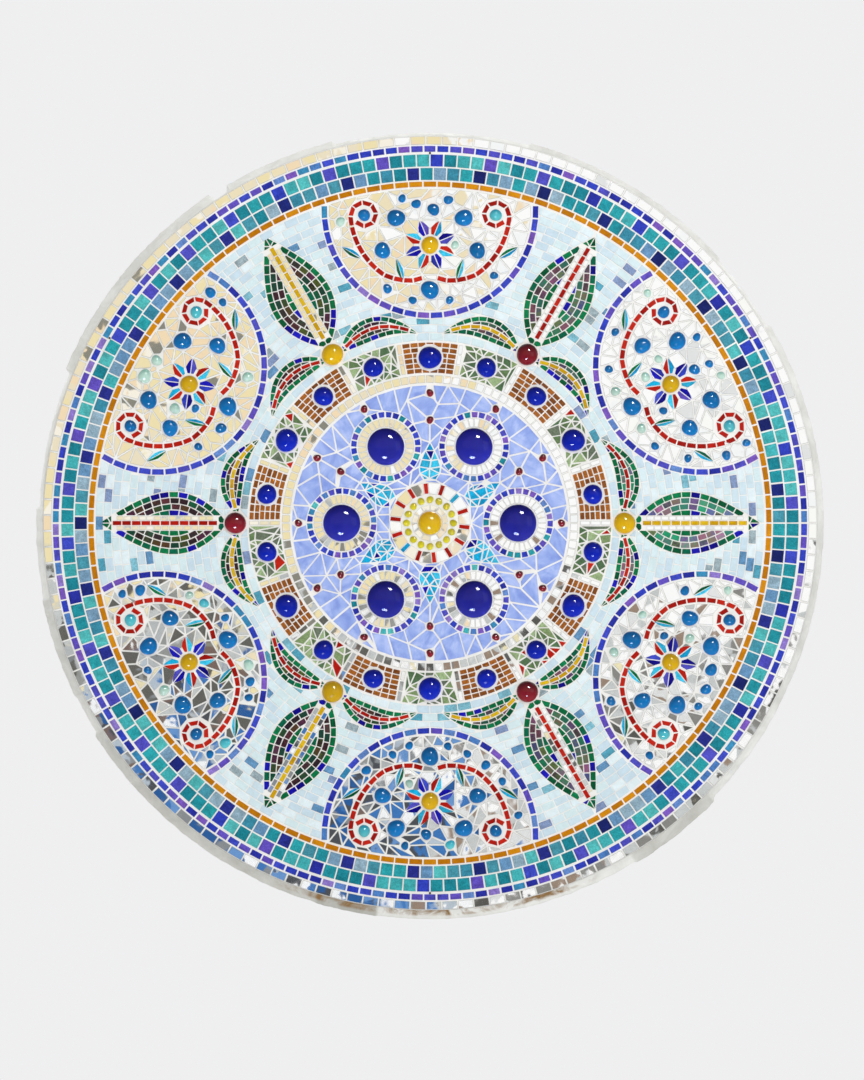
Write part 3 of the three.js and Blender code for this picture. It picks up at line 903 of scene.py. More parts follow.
@dataclass
class ShardField:
    """A field of random-cut shards that fills an outline and leaves its holes free.

    Joints run to each small gem in `knots`, and the shards round it are nipped back to make room.
    What is called a share is a share of the spacing.
    """

    outline: Polygon
    holes: list[Polygon]
    spacing: float
    dice: random.Random
    joint: float = 2.0
    merging: float = 0.35
    knots: Sequence[Gem] = ()
    margin: float = 2.0
    joint_error: tuple[float, float] = (-0.25, 0.3)
    knot_share: float = 1.6
    edge_share: float = 0.62
    thin_share: float = 0.32
    tries_to_a_shard: int = 14
    straightest: float = 0.18

    def cut(self) -> list[Polygon]:
        """Divide the field into triangles and four-sided pieces.

        Returns:
            The outline of each shard, with half a joint taken off all round.
        """
        loops = [self.outline, *self.holes]
        corners = [p for loop in loops for p in loop]
        edges, first = [], 0
        for loop in loops:
            edges += [(first + i, first + (i + 1) % len(loop)) for i in range(len(loop))]
            first += len(loop)
        corners += [gem.centre for gem in self.knots]
        corners += self.scatter(corners)
        points, _, faces, *_ = geometry.delaunay_2d_cdt(corners, edges, [], 0, 1e-5)
        cells = []
        for face in faces:
            cell = [points[i] for i in face]
            middle = centroid(cell)
            if inside(middle, self.outline) and not any(inside(middle, h) for h in self.holes):
                cells.append(list(face))
        cells = self.merge(cells, points)
        shards = []
        for cell in cells:
            outline = [points[i] for i in cell]
            if area(outline) < 0:
                outline.reverse()
            outline = inset(outline, self.joint / 2 + self.dice.uniform(*self.joint_error))
            middle = centroid(outline) if outline else CENTRE
            near = [g for g in self.knots if (g.centre - middle).length < self.knot_share * self.spacing]
            around = [outside_circle(g.centre, g.radius) for g in near]
            shards.append(trim(outline, around, self.margin) if outline else [])
        return [s for s in shards if s]

    def scatter(self, taken: Sequence[Vector]) -> list[Vector]:
        """Random places inside the field that keep their distance from one another."""
        xs, ys = [p.x for p in self.outline], [p.y for p in self.outline]
        fresh: list[Vector] = []
        cells = (max(xs) - min(xs)) * (max(ys) - min(ys)) / self.spacing ** 2
        for _ in range(int(cells * self.tries_to_a_shard)):
            spot = Vector((self.dice.uniform(min(xs), max(xs)), self.dice.uniform(min(ys), max(ys))))
            if any((spot - p).length < self.spacing * self.edge_share for p in taken):
                continue
            if any((spot - p).length < self.spacing for p in fresh):
                continue
            if inside(spot, self.outline) and not any(inside(spot, h) for h in self.holes):
                fresh.append(spot)
        return fresh

    def merge(self, cells: list[list[int]], points: Sequence[Vector]) -> list[list[int]]:
        """Join some neighbouring triangles, thin ones first, where the result stays convex."""
        owners: dict[frozenset[int], list[int]] = {}
        for index, cell in enumerate(cells):
            for a, b in zip(cell, [*cell[1:], cell[0]]):
                owners.setdefault(frozenset((a, b)), []).append(index)
        shared = [(edge, pair) for edge, pair in owners.items() if len(pair) == 2]
        self.dice.shuffle(shared)
        thin = {i: width([points[j] for j in cell]) for i, cell in enumerate(cells)}
        limit = self.thin_share * self.spacing
        shared.sort(key=lambda item: min(thin[i] for i in item[1]) > limit)
        joined: dict[int, list[int]] = {}
        for edge, (one, other) in shared:
            if one in joined or other in joined:
                continue
            needed = min(thin[one], thin[other]) < limit
            if not needed and self.dice.random() > self.merging:
                continue
            quad = self.join(cells[one], cells[other], edge)
            if self.convex([points[i] for i in quad]):
                joined[one], joined[other] = quad, []
        return [joined.get(i, cell) for i, cell in enumerate(cells) if joined.get(i, cell)]

    @staticmethod
    def join(one: list[int], other: list[int], edge: frozenset[int]) -> list[int]:
        """The four corners, in order, of two triangles that share an edge."""
        apex = next(i for i in one if i not in edge)
        opposite = next(i for i in other if i not in edge)
        at = one.index(apex)
        before, after = one[(at + 1) % 3], one[(at + 2) % 3]
        return [apex, before, opposite, after]

    def convex(self, quad: Sequence[Vector]) -> bool:
        """Whether a four-sided outline has no hollow or nearly straight corner."""
        turns = []
        for i in range(4):
            a, b, c = quad[i - 1], quad[i], quad[(i + 1) % 4]
            one, two = (b - a).normalized(), (c - b).normalized()
            turns.append(one.x * two.y - one.y * two.x)
        return min(turns) > self.straightest or max(turns) < -self.straightest


def pick(dice: random.Random, choices: Sequence[tuple[Finish, float]]) -> Finish:
    """One of some finishes, by their weights."""
    return dice.choices([c[0] for c in choices], [c[1] for c in choices])[0]


# The parts of the panel


@dataclass(frozen=True)
class Stretch:
    """A length of the trowelled edge, from one angle to the next stretch's, in degrees.

    Its edge lies at `radius` and stands `height` off the wall, and `shade` runs from 0, pale, to 1, grey.
    """

    start: float
    radius: float
    height: float
    shade: float


@dataclass
class MortarBed:
    """The slab of mortar with its hand-trowelled and partly broken edge."""

    foot_radius: float = 583.0
    seat_radius: float = 571.2
    edge_section: tuple[tuple[float, float], ...] = ((583.0, 3.0), (582.2, 4.5), (579.5, 6.4),
                                                     (576.8, 9.0), (574.4, 11.6), (572.4, 13.4),
                                                     (571.2, 13.9))
    stretches: tuple[Stretch, ...] = (
        Stretch(0.0, 582.0, 4.0, 0.40), Stretch(30.0, 577.0, 3.0, 0.25), Stretch(42.0, 580.5, 3.5, 0.46),
        Stretch(75.0, 577.0, 3.0, 0.22), Stretch(104.0, 582.5, 4.5, 0.38), Stretch(121.2, 573.5, 1.5, 0.1),
        Stretch(123.6, 585.0, 5.0, 0.45), Stretch(157.0, 577.5, 2.5, 0.08), Stretch(177.5, 582.0, 4.0, 0.25),
        Stretch(191.0, 584.0, 5.0, 0.55), Stretch(206.0, 582.0, 4.0, 0.3), Stretch(212.0, 586.0, 5.0, 0.6),
        Stretch(253.0, 586.5, 5.5, 0.85), Stretch(262.0, 585.5, 4.0, 0.1), Stretch(301.2, 588.0, 5.5, 0.68),
        Stretch(315.8, 583.0, 4.0, 0.3), Stretch(332.0, 582.0, 4.0, 0.42),
    )
    blend: float = 0.35
    collar_radius: float = 565.0
    back_shade: float = 0.5
    rusty: tuple[float, float] = (246.0, 296.0)
    rust_radius: float = 577.0
    rust_fade: float = 6.0
    rags: tuple[tuple[float, float], ...] = ((30, 1.1), (110, 0.8))
    lumps: tuple[tuple[float, float], ...] = ((60, 0.7), (230, 0.35))
    thinnest: float = 1.0
    rest_of_rise: float = 0.35
    steps: int = 720

    def at(self, degrees: float) -> Stretch:
        """The edge at an angle, with the short blend from one stretch to the next."""
        degrees %= 360.0
        index = max(i for i, s in enumerate(self.stretches) if s.start <= degrees)
        here, before = self.stretches[index], self.stretches[index - 1]
        share = min(1.0, (degrees - here.start) / self.blend)
        ends = ((before.radius, here.radius), (before.height, here.height), (before.shade, here.shade))
        return Stretch(degrees, *(p + (q - p) * share for p, q in ends))

    def build(self) -> bpy.types.Object:
        """Spin the slab from its section, then work its edge by hand."""
        section = [(0, 0), (560, 0), (self.foot_radius, 0), *self.edge_section,
                   (self.seat_radius, BED_THICKNESS), (520, BED_THICKNESS), (0, BED_THICKNESS)]
        bm = bmesh.new()
        lathe(bm, section, self.steps)
        shades = bm.verts.layers.float.new("shade")
        stains = bm.verts.layers.float.new("stain")
        for vertex in bm.verts:
            self.work(vertex, shades, stains)
        bmesh.ops.recalc_face_normals(bm, faces=bm.faces)
        piece = make_object("mortar_slab", bm, [MORTAR])
        register(piece, ["mortar_bed"])
        return piece

    def work(self, vertex: bmesh.types.BMVert, shades: bmesh.types.BMLayerItem,
             stains: bmesh.types.BMLayerItem) -> None:
        """Move one point of the edge to where the trowel left it, and shade it."""
        radius, angle = math.hypot(vertex.co.x, vertex.co.z) / MM, math.atan2(vertex.co.z, vertex.co.x)
        degrees = math.degrees(angle) % 360.0
        edge = self.at(degrees)
        vertex[shades] = edge.shade if radius > self.collar_radius else self.back_shade
        first, last = self.rusty
        if first < degrees < last and self.collar_radius < radius < self.rust_radius and vertex.co.y < -MM:
            vertex[stains] = min(1.0, (degrees - first) / self.rust_fade, (last - degrees) / self.rust_fade)
        if radius < self.seat_radius + 0.5:
            return
        share = (radius - self.seat_radius) / (self.foot_radius - self.seat_radius)
        direction = Vector((math.cos(angle), math.sin(angle), 0.0))
        out = edge.radius - self.foot_radius + waver(direction, *self.rags)
        vertex.co.x, vertex.co.z = polar((radius + share * out) * MM, angle)
        if vertex.co.y > -self.thinnest * MM:
            return
        height = -vertex.co.y / MM
        worn = min(height, edge.height + height * self.rest_of_rise)
        sunk = height * (1 - share) + worn * share
        lump = waver(vertex.co, *self.lumps)
        vertex.co.y = -max(self.thinnest, sunk + lump * min(1.0, share * 3)) * MM


@dataclass
class GroutSheet:
    """The grout that fills every joint to just under the faces of the tiles."""

    radius: float = 570.9
    off_bed: float = 0.2
    pitch: float = 7.0
    dips: tuple[tuple[float, float], ...] = ((90, 0.25), (20, 0.15))
    steps: int = 330

    def build(self) -> bpy.types.Object:
        """Spin a thin slab and make its face as uneven as sponged grout."""
        low = BED_THICKNESS + self.off_bed
        rings = round(self.radius / self.pitch)
        section = [(0, low), (self.radius, low)]
        section += [(self.radius * (rings - i) / rings, GROUT_FACE) for i in range(rings + 1)]
        bm = bmesh.new()
        lathe(bm, section, self.steps)
        face = [v for v in bm.verts if v.co.y < -(GROUT_FACE - 0.5) * MM]
        for vertex in face:
            vertex.co.y -= waver(vertex.co, *self.dips) * MM
        bmesh.ops.recalc_face_normals(bm, faces=bm.faces)
        piece = make_object("grout_joints", bm, [GROUT], smooth=True)
        register(piece)
        return piece


@dataclass
class Border:
    """The round courses at the rim."""

    dice: random.Random
    edge: Course = Course(558.5, 570.0, pitch=23.5, joint=2.0)
    dash: Course = Course(547.5, 556.0, pitch=19.0, joint=2.6)
    outer_row: Course = Course(525.9, 543.5, pitch=20.0, joint=2.2)
    inner_row: Course = Course(506.0, 523.6, pitch=19.6, joint=2.2)
    orange: Course = Course(496.0, 503.5, pitch=21.0, joint=2.4)

    def lay(self, bed: TileBed, course: Course, finish: Callable[[int], Finish]) -> None:
        """Lay one ring of tiles, each in the finish for its number."""
        for index, tile in enumerate(course.tiles(CENTRE, self.dice)):
            bed.lay(tile, finish(index))

    def dash_finish(self, index: int) -> Finish:
        """Violet-blue for most of the dashes and steel blue for the rest."""
        return pick(self.dice, DASH_MIX)

    def outer_finish(self, index: int) -> Finish:
        """Violet-blue for every fourth square of the outer row."""
        return DASH_BLUE if index % 4 == 1 else TURQUOISE

    def inner_finish(self, index: int) -> Finish:
        """Navy for every fifth square of the inner row, and slate or turquoise between them."""
        return NAVY if index % 5 == 2 else pick(self.dice, ((SLATE_TEAL, 0.7), (TURQUOISE, 0.3)))

    def build(self) -> None:
        """Lay the five courses."""
        edge = TileBed("edge_mirror_tiles", "mirror", self.dice, tilt=EVEN_TILT)
        self.lay(edge, self.edge, lambda _: MIRROR)
        edge.build(["edge_mirror_course"])
        dash = TileBed("blue_dash_tiles", "violet_blue", self.dice)
        self.lay(dash, self.dash, self.dash_finish)
        dash.build(["blue_dash_course"])
        squares = TileBed("turquoise_tiles", "turquoise", self.dice)
        self.lay(squares, self.outer_row, self.outer_finish)
        self.lay(squares, self.inner_row, self.inner_finish)
        squares.build(["turquoise_course"])
        orange = TileBed("orange_tiles", "orange", self.dice)
        self.lay(orange, self.orange, lambda _: ORANGE)
        orange.build(["orange_course"])


@dataclass
class Lobe:
    """A scalloped field of mirror shards at the rim, with a blossom, two scrolls and gems."""

    index: int
    dice: random.Random
    centre_radius: float = 462.0
    radius: float = 150.0
    field_radius: float = 493.5
    rim_pitch: float = 21.0
    border: Course = Course(152.0, 160.0, pitch=19.0, joint=2.6)
    blossom: float = -52.0
    petals: int = 8
    petal: tuple[tuple[float, float], ...] = ((15.6, 0.7), (15.6, 4.4), (24.0, 8.0), (30.0, 6.6),
                                              (38.0, 0.7))
    star_radii: tuple[float, float] = (22.0, 40.0)
    scroll_eye: tuple[float, float] = (-8.0, 97.0)
    scroll_radius: float = 20.0
    scroll_steps: tuple[int, int] = (40, 48)
    stem_turns: tuple[float, float] = (6.0, 84.0)
    stem_radii: tuple[float, float] = (101.0, 118.0)
    curl_turns: tuple[float, float] = (4.0, 322.0)
    curl_tightening: float = 4.0
    stem_half_breadth: float = 4.8
    scroll_breadth: float = 6.6
    scroll_pitch: float = 14.5
    leaves: tuple = (((111.0, 21.0), (88.0, 34.0)), ((124.5, 55.0), (141.0, 67.0)))
    leaf_belly: tuple[tuple[float, float], ...] = ((0.25, 0.8), (0.5, 1.0), (0.78, 0.62))
    small_radii: tuple[float, ...] = (6.0, 7.0, 8.0, 9.0, 10.0)
    small_count: int = 20
    small_tries: int = 900
    gem_margin: float = 2.4
    shard_spacing: float = 23.0
    gems: tuple[tuple[float, float, float], ...] = ((-118, 0, 13.5), (-60, 70, 12), (-60, -70, 12),
                                                    (-12, 50, 13), (-12, -50, 13))

    def __post_init__(self) -> None:
        """Work out which way this lobe points."""
        self.angle = math.pi / 2 + self.index * FULL_TURN / SECTORS
        self.out = polar(1.0, self.angle)
        self.across = Vector((-self.out.y, self.out.x))
        self.centre = self.out * self.centre_radius
        self.name = f"lobe_{self.index + 1}"

    def at(self, outward: float, sideways: float) -> Vector:
        """A point by its distance out from the lobe's centre and its distance to the side."""
        return self.centre + self.out * outward + self.across * sideways

    def rim(self, radius: float) -> Polygon:
        """The lobe's outline at a radius round its centre, closed by the rim of the panel."""
        inner = self.bow(radius)
        tip = inner[0]
        reach = math.remainder(math.atan2(tip.y, tip.x) - self.angle, FULL_TURN)
        outer = arc(CENTRE, self.field_radius, self.angle - reach, self.angle + reach)
        return [*resample(inner, self.rim_pitch)[:-1], *resample(outer, self.rim_pitch)[:-1]]

    def bow(self, radius: float) -> Polygon:
        """The arc round the lobe's centre, from the rim of the panel and back to it."""
        apart = self.field_radius ** 2 - self.centre_radius ** 2 - radius ** 2
        half = math.acos(apart / (2 * self.centre_radius * radius))
        return arc(self.centre, radius, self.angle + half, self.angle + FULL_TURN - half)

    def tail(self, sign: int) -> Polygon:
        """The middle line of one scroll: a stem from beside the blossom, and then a curl."""
        eye_out, eye_side = self.scroll_eye
        stem_steps, curl_steps = self.scroll_steps
        (first, last), (near, far) = self.stem_turns, self.stem_radii
        line = []
        for i in range(stem_steps + 1):
            share = i / stem_steps
            turn = math.radians(first + (last - first) * share)
            radius = near + (far - near) * min(1.0, share * 2.6) ** 0.7
            line.append((-radius * math.cos(turn), radius * math.sin(turn)))
        first, last = self.curl_turns
        for i in range(curl_steps + 1):
            share = i / curl_steps
            turn = math.radians(first + (last - first) * share)
            radius = self.scroll_radius - self.curl_tightening * share
            line.append((eye_out + radius * math.sin(turn), eye_side + radius * math.cos(turn)))
        return [self.at(o, sign * s) for o, s in line]

    def leaf(self, sign: int, base: tuple[float, float], tip: tuple[float, float],
             half: float = 4.6) -> tuple[Polygon, Polygon]:
        """The two halves of a small leaf, each from its base to its tip in polar form."""
        start, end = (self.at(-r * math.cos(math.radians(a)), sign * r * math.sin(math.radians(a)))
                      for r, a in (base, tip))
        along = end - start
        side = Vector((-along.y, along.x)).normalized()
        gap = side * 0.7
        halves = []
        for way in (1, -1):
            belly = [start.lerp(end, t) + side * way * half * k for t, k in self.leaf_belly]
            halves.append([start + gap * way, *belly, end + gap * way * 0.3])
        return halves[0], halves[1]

    def star(self) -> Polygon:
        """The outline round the blossom, with a point to each petal."""
        middle = self.at(self.blossom, 0)
        hollow, point = self.star_radii
        points = []
        for i in range(self.petals):
            turn = self.angle + FULL_TURN * (i + 0.5) / self.petals
            points.append(middle + polar(hollow, turn - math.pi / self.petals))
            points.append(middle + polar(point, turn))
        return points

    def small_gems(self, taken: list[tuple[Vector, float]], keep_out: list[Polygon]) -> list[Gem]:
        """Scatter the smaller gems over what is free of the ornament."""
        found: list[Gem] = []
        guards = [Outline(pairs(p)) for p in keep_out]
        from_rim, from_gem, from_ornament = 6, 9, 3.8
        for _ in range(self.small_tries):
            radius = self.dice.choice(self.small_radii)
            turn, reach = self.dice.uniform(0, FULL_TURN), self.radius * math.sqrt(self.dice.random())
            spot = self.centre + polar(reach, turn)
            clear = radius + from_rim
            if reach > self.radius - clear or spot.length > self.field_radius - clear:
                continue
            if any((spot - c).length < r + radius + from_gem for c, r in taken):
                continue
            if any(guard(spot) < radius + from_ornament for guard in guards):
                continue
            finish = pick(self.dice, ((TEAL_GEM, 0.5), (SKY_GEM, 0.15), (AQUA_GEM, 0.35)))
            found.append(Gem(spot, radius, finish, roundness=0.075))
            taken.append((spot, radius))
            if len(found) == self.small_count:
                break
        return found

    def build(self) -> None:
        """Lay the border, the ornament, the gems and then the shards between them."""
        ornament = TileBed(f"{self.name}_ornament", "red", self.dice, smallest=2.0)
        holes: list[Polygon] = [self.star()]
        self.lay_blossom(ornament)
        large = [Gem(self.at(o, s), r, TEAL_GEM, roundness=0.055) for o, s, r in self.gems]
        gems = [*large, Gem(self.at(self.blossom, 0), 13.0, AMBER_GEM, roundness=0.02)]
        for sign in (1, -1):
            gems.append(self.lay_scroll(ornament, sign, holes))
            for base, tip in self.leaves:
                for half, finish in zip(self.leaf(sign, base, tip), (EMERALD, CYAN)):
                    ornament.lay(half, finish)
                near, far = self.leaf(sign, base, tip, half=7.0)
                holes.append([near[0], near[2], near[-1], far[2]])
        holes += [circle(g.centre, g.radius + self.gem_margin, 15.0, self.dice.random()) for g in large]
        taken = [(g.centre, g.radius) for g in gems]
        small = self.small_gems(taken, holes)
        ornament.build()
        GemTray(f"{self.name}_gems", "gem_turquoise", self.dice, [*gems, *small]).build()
        shards = TileBed(f"{self.name}_shards", "mirror", self.dice, tilt=0.0065)
        field_of = ShardField(self.rim(self.radius), holes, self.shard_spacing, self.dice, merging=0.18,
                              knots=small)
        for shard in field_of.cut():
            shards.lay(shard, MIRROR)
        shards.build([f"lobe_field_{self.index + 1}"])
        self.lay_border()

    def lay_scroll(self, bed: TileBed, sign: int, holes: list[Polygon]) -> Gem:
        """Lay one scroll and keep the shards off it.

        Args:
            bed: what its tiles are laid in.
            sign: 1 for the scroll on one side of the lobe, -1 for the other.
            holes: the holes in the lobe's field, to which the scroll's own are added.

        Returns:
            The gem in its eye.
        """
        line = self.tail(sign)
        for tile in row(line, self.scroll_breadth, self.scroll_pitch, 2.2, self.dice):
            bed.lay(tile, RED)
        eye = self.at(self.scroll_eye[0], sign * self.scroll_eye[1])
        holes.append(circle(eye, self.scroll_radius + 5.0, 17.0))
        stem = line[:self.scroll_steps[0] + 1]
        stops = resample([p for p in stem if (p - eye).length > self.scroll_radius + 6.5], 20.0)
        left, right = (sides(stops, way * self.stem_half_breadth) for way in (1, -1))
        holes.append([*right, *reversed(left)])
        return Gem(eye, 9.0, TEAL_GEM if sign > 0 else SKY_GEM)

    def lay_blossom(self, bed: TileBed) -> None:
        """Lay the petals of the blossom, each cut in two along its middle."""
        middle = self.at(self.blossom, 0)
        for i in range(self.petals):
            turn = self.angle + FULL_TURN * (i + 0.5) / self.petals
            out, side = polar(1.0, turn), polar(1.0, turn + math.pi / 2)
            for way, finish in ((1, RED if i % 2 else COBALT_TILE), (-1, CYAN if i % 2 else DASH_BLUE)):
                bed.lay([middle + out * r + side * way * w for r, w in self.petal], finish)

    def lay_border(self) -> None:
        """Lay the arc of violet and blue dashes round the lobe."""
        inner, outer = self.border.inner, self.border.outer
        bed = TileBed(f"{self.name}_border_tiles", "violet_blue", self.dice)
        path = self.bow((inner + outer) / 2)
        for tile in row(path, outer - inner, self.border.pitch, self.border.joint, self.dice):
            cut = trim(tile, [inside_circle(CENTRE, self.field_radius)], 0.0)
            bed.lay(cut, pick(self.dice, DASH_MIX))
        bed.build([f"lobe_border_{self.index + 1}"])


@dataclass
class Leaf:
    """A pointed leaf along a spine, laid in rows that follow its edge."""

    spine: Callable[[float], Vector]
    half_width: float
    rows: tuple[Finish, ...]
    vein: Finish
    vein_breadth: float = 6.0
    breadth: float = 7.4
    joint: float = 1.6
    pitch: float = 13.6
    belly: float = 0.8
    flank: float = 0.0
    steps: int = 60
    vein_span: tuple[float, float] = (0.07, 0.9)
    vein_steps: int = 40
    vein_pitch: float = 14.0
    vein_joint: float = 1.8
    flank_pitch: float = 11.0
    flank_joint: float = 1.4
    cobalt_share: float = 0.16

    def side_of(self, share: float) -> Vector:
        """The direction across the leaf at a share of its length."""
        ahead = (self.spine(share + 1e-3) - self.spine(share - 1e-3)).normalized()
        return Vector((-ahead.y, ahead.x))

    def edge(self, sign: int, grow: float = 0.0) -> Polygon:
        """One edge of the leaf, from its base to its tip."""
        line = []
        for i in range(self.steps + 1):
            share = i / self.steps
            half = self.half_width * math.sin(math.pi * share ** self.belly)
            line.append(self.spine(share) + self.side_of(share) * sign * (max(0.0, half) + grow))
        return line

    def outline(self) -> Outline:
        """The whole leaf as a boundary."""
        return Outline(pairs([*self.edge(-1), *reversed(self.edge(1)[1:-1])]))

    def lay(self, bed: TileBed, dice: random.Random) -> None:
        """Lay the vein and then each row, from the edge inwards on both sides."""
        middle = [self.spine(-0.15 + 1.3 * i / self.steps) for i in range(self.steps + 1)]
        start, end = self.vein_span
        vein_line = [self.spine(start + (end - start) * i / self.vein_steps)
                     for i in range(self.vein_steps + 1)]
        for tile in row(vein_line, self.vein_breadth, self.vein_pitch, self.vein_joint, dice):
            bed.lay(tile, self.vein)
        half = self.vein_breadth / 2
        if self.flank:
            for sign in (1, -1):
                beside = sides(vein_line, sign * (half + self.flank_joint + self.flank / 2))
                beside = resample(beside, 3.0)[2:-2]
                for tile in row(beside, self.flank, self.flank_pitch, self.flank_joint, dice):
                    bed.lay(tile, MIRROR)
            half += 1.2 + self.flank
        strip = Outline(pairs([*sides(vein_line, -half), *reversed(sides(vein_line, half))]))
        for sign in (1, -1):
            side = Side(pairs(middle), float(sign))
            edge = self.edge(sign)
            for number, finish in enumerate(self.rows):
                depth = (number + 0.5) * self.breadth + number * self.joint
                line = resample(sides(edge, -sign * depth), 4.0)
                line = [p for p in line if side(p) > -0.8 * self.breadth]
                if len(line) < 3:
                    continue
                for tile in row(line, self.breadth, self.pitch, self.joint, dice):
                    cut = trim(tile, [side], self.joint * 0.45)
                    cut = trim(cut, [strip], self.joint) if cut else cut
                    cobalt = finish is EMERALD and dice.random() < self.cobalt_share
                    bed.lay(cut, COBALT_TILE if cobalt else finish)


@dataclass
class Palmette:
    """Three leaves and a gem between two lobes."""

    index: int
    dice: random.Random
    calyx: tuple[float, float] = (287.0, 16.0)
    base: float = 300.0
    tip: float = 487.0
    half_width: float = 46.0
    side_turn: tuple[float, float] = (2.6, 26.2)
    side_radius: float = 284.0
    side_rise: float = 17.0
    side_half_width: float = 16.5
    gem_margins: tuple[float, float] = (1.6, 1.0)

    def __post_init__(self) -> None:
        """Work out which way this palmette points."""
        self.angle = math.pi / 2 + (self.index - 0.5) * FULL_TURN / SECTORS
        vein, other = (GOLD, RED) if self.index % 2 else (RED, GOLD)
        main_rows = (EMERALD, IRIDESCENT, IRIDESCENT, EMERALD, IRIDESCENT, IRIDESCENT)
        self.leaves = [Leaf(self.main_spine, self.half_width, main_rows, vein, flank=5.6)]
        for sign in (1, -1):
            self.leaves.append(Leaf(self.side_spine(sign), self.side_half_width, (EMERALD, IRIDESCENT),
                                    other, vein_breadth=4.8, breadth=6.2, joint=1.4, pitch=12.0))

    def main_spine(self, share: float) -> Vector:
        """The middle of the large leaf."""
        return polar(self.base + (self.tip - self.base) * share, self.angle)

    def side_spine(self, sign: int) -> Callable[[float], Vector]:
        """The middle of one of the leaves that sweep along the jewelled band."""
        first, last = self.side_turn

        def spine(share: float) -> Vector:
            """The point of the middle line at a share of its length."""
            turn = math.radians(first + (last - first) * share)
            radius = self.side_radius + self.side_rise * math.sin(math.pi * share) - 4 * share
            return polar(radius, self.angle + sign * turn)
        return spine

    def gem(self) -> Gem:
        """The gem where the leaves meet."""
        finish = AMBER_GEM if self.index % 2 else RUBY_GEM
        return Gem(polar(self.calyx[0], self.angle), self.calyx[1], finish, roundness=0.015)

    def boundaries(self) -> list[Boundary]:
        """What the ground round the palmette is cut back to."""
        edges: list[Boundary] = [leaf.outline() for leaf in self.leaves]
        return [*edges, self.around_gem(self.gem_margins[1])]

    def around_gem(self, margin: float) -> Boundary:
        """The outside of the gem's seat, with a margin round the gem."""
        reach, radius = self.calyx
        return outside_circle(polar(reach, self.angle), radius + margin)

    def build(self) -> None:
        """Lay the three leaves, cut back round the gem."""
        bed = TileBed(f"palmette_{self.index + 1}_leaves", "leaf_green", self.dice, chamfer=0.3)
        uncut = TileBed("uncut_leaves", "leaf_green", self.dice, smallest=2.0)
        for leaf in self.leaves:
            leaf.lay(uncut, self.dice)
        around = self.around_gem(self.gem_margins[0])
        for tile in uncut.tiles:
            cut = trim(tile.outline, [around], 0.0)
            bed.lay(cut, tile.finish, tile.tone)
        bed.build([f"palmette_{self.index + 1}"])


@dataclass
class PaleGround:
    """The staggered rows of pale tiles between the lobes, the palmettes and the jewelled band."""

    dice: random.Random
    lobes: Sequence[Lobe]
    palmettes: Sequence[Palmette]
    inner: float = 269.0
    outer: float = 493.5
    rows: int = 19
    pitch: float = 20.5
    joint: float = 1.5

    def build(self) -> None:
        """Lay rings of tiles and cut each back to the outlines it meets."""
        bed = TileBed("pale_blue_tiles", "pale_blue", self.dice, smallest=4.0)
        edges: list[Boundary] = [b for p in self.palmettes for b in p.boundaries()]
        edges += [outside_circle(lobe.centre, lobe.border.outer) for lobe in self.lobes]
        step = (self.outer - self.inner) / self.rows
        for number in range(self.rows):
            radius = self.inner + (number + 0.5) * step
            start = (number % 2) * 0.5 * self.pitch / radius
            path = arc(CENTRE, radius, start, start + FULL_TURN)
            for tile in row(path, step - self.joint, self.pitch, self.joint, self.dice):
                cut = trim(tile, edges, self.joint)
                bed.lay(cut, pick(self.dice, ((PALE_BLUE, 0.87), (ACCENT, 0.13))))
        bed.build(["pale_blue_field"])


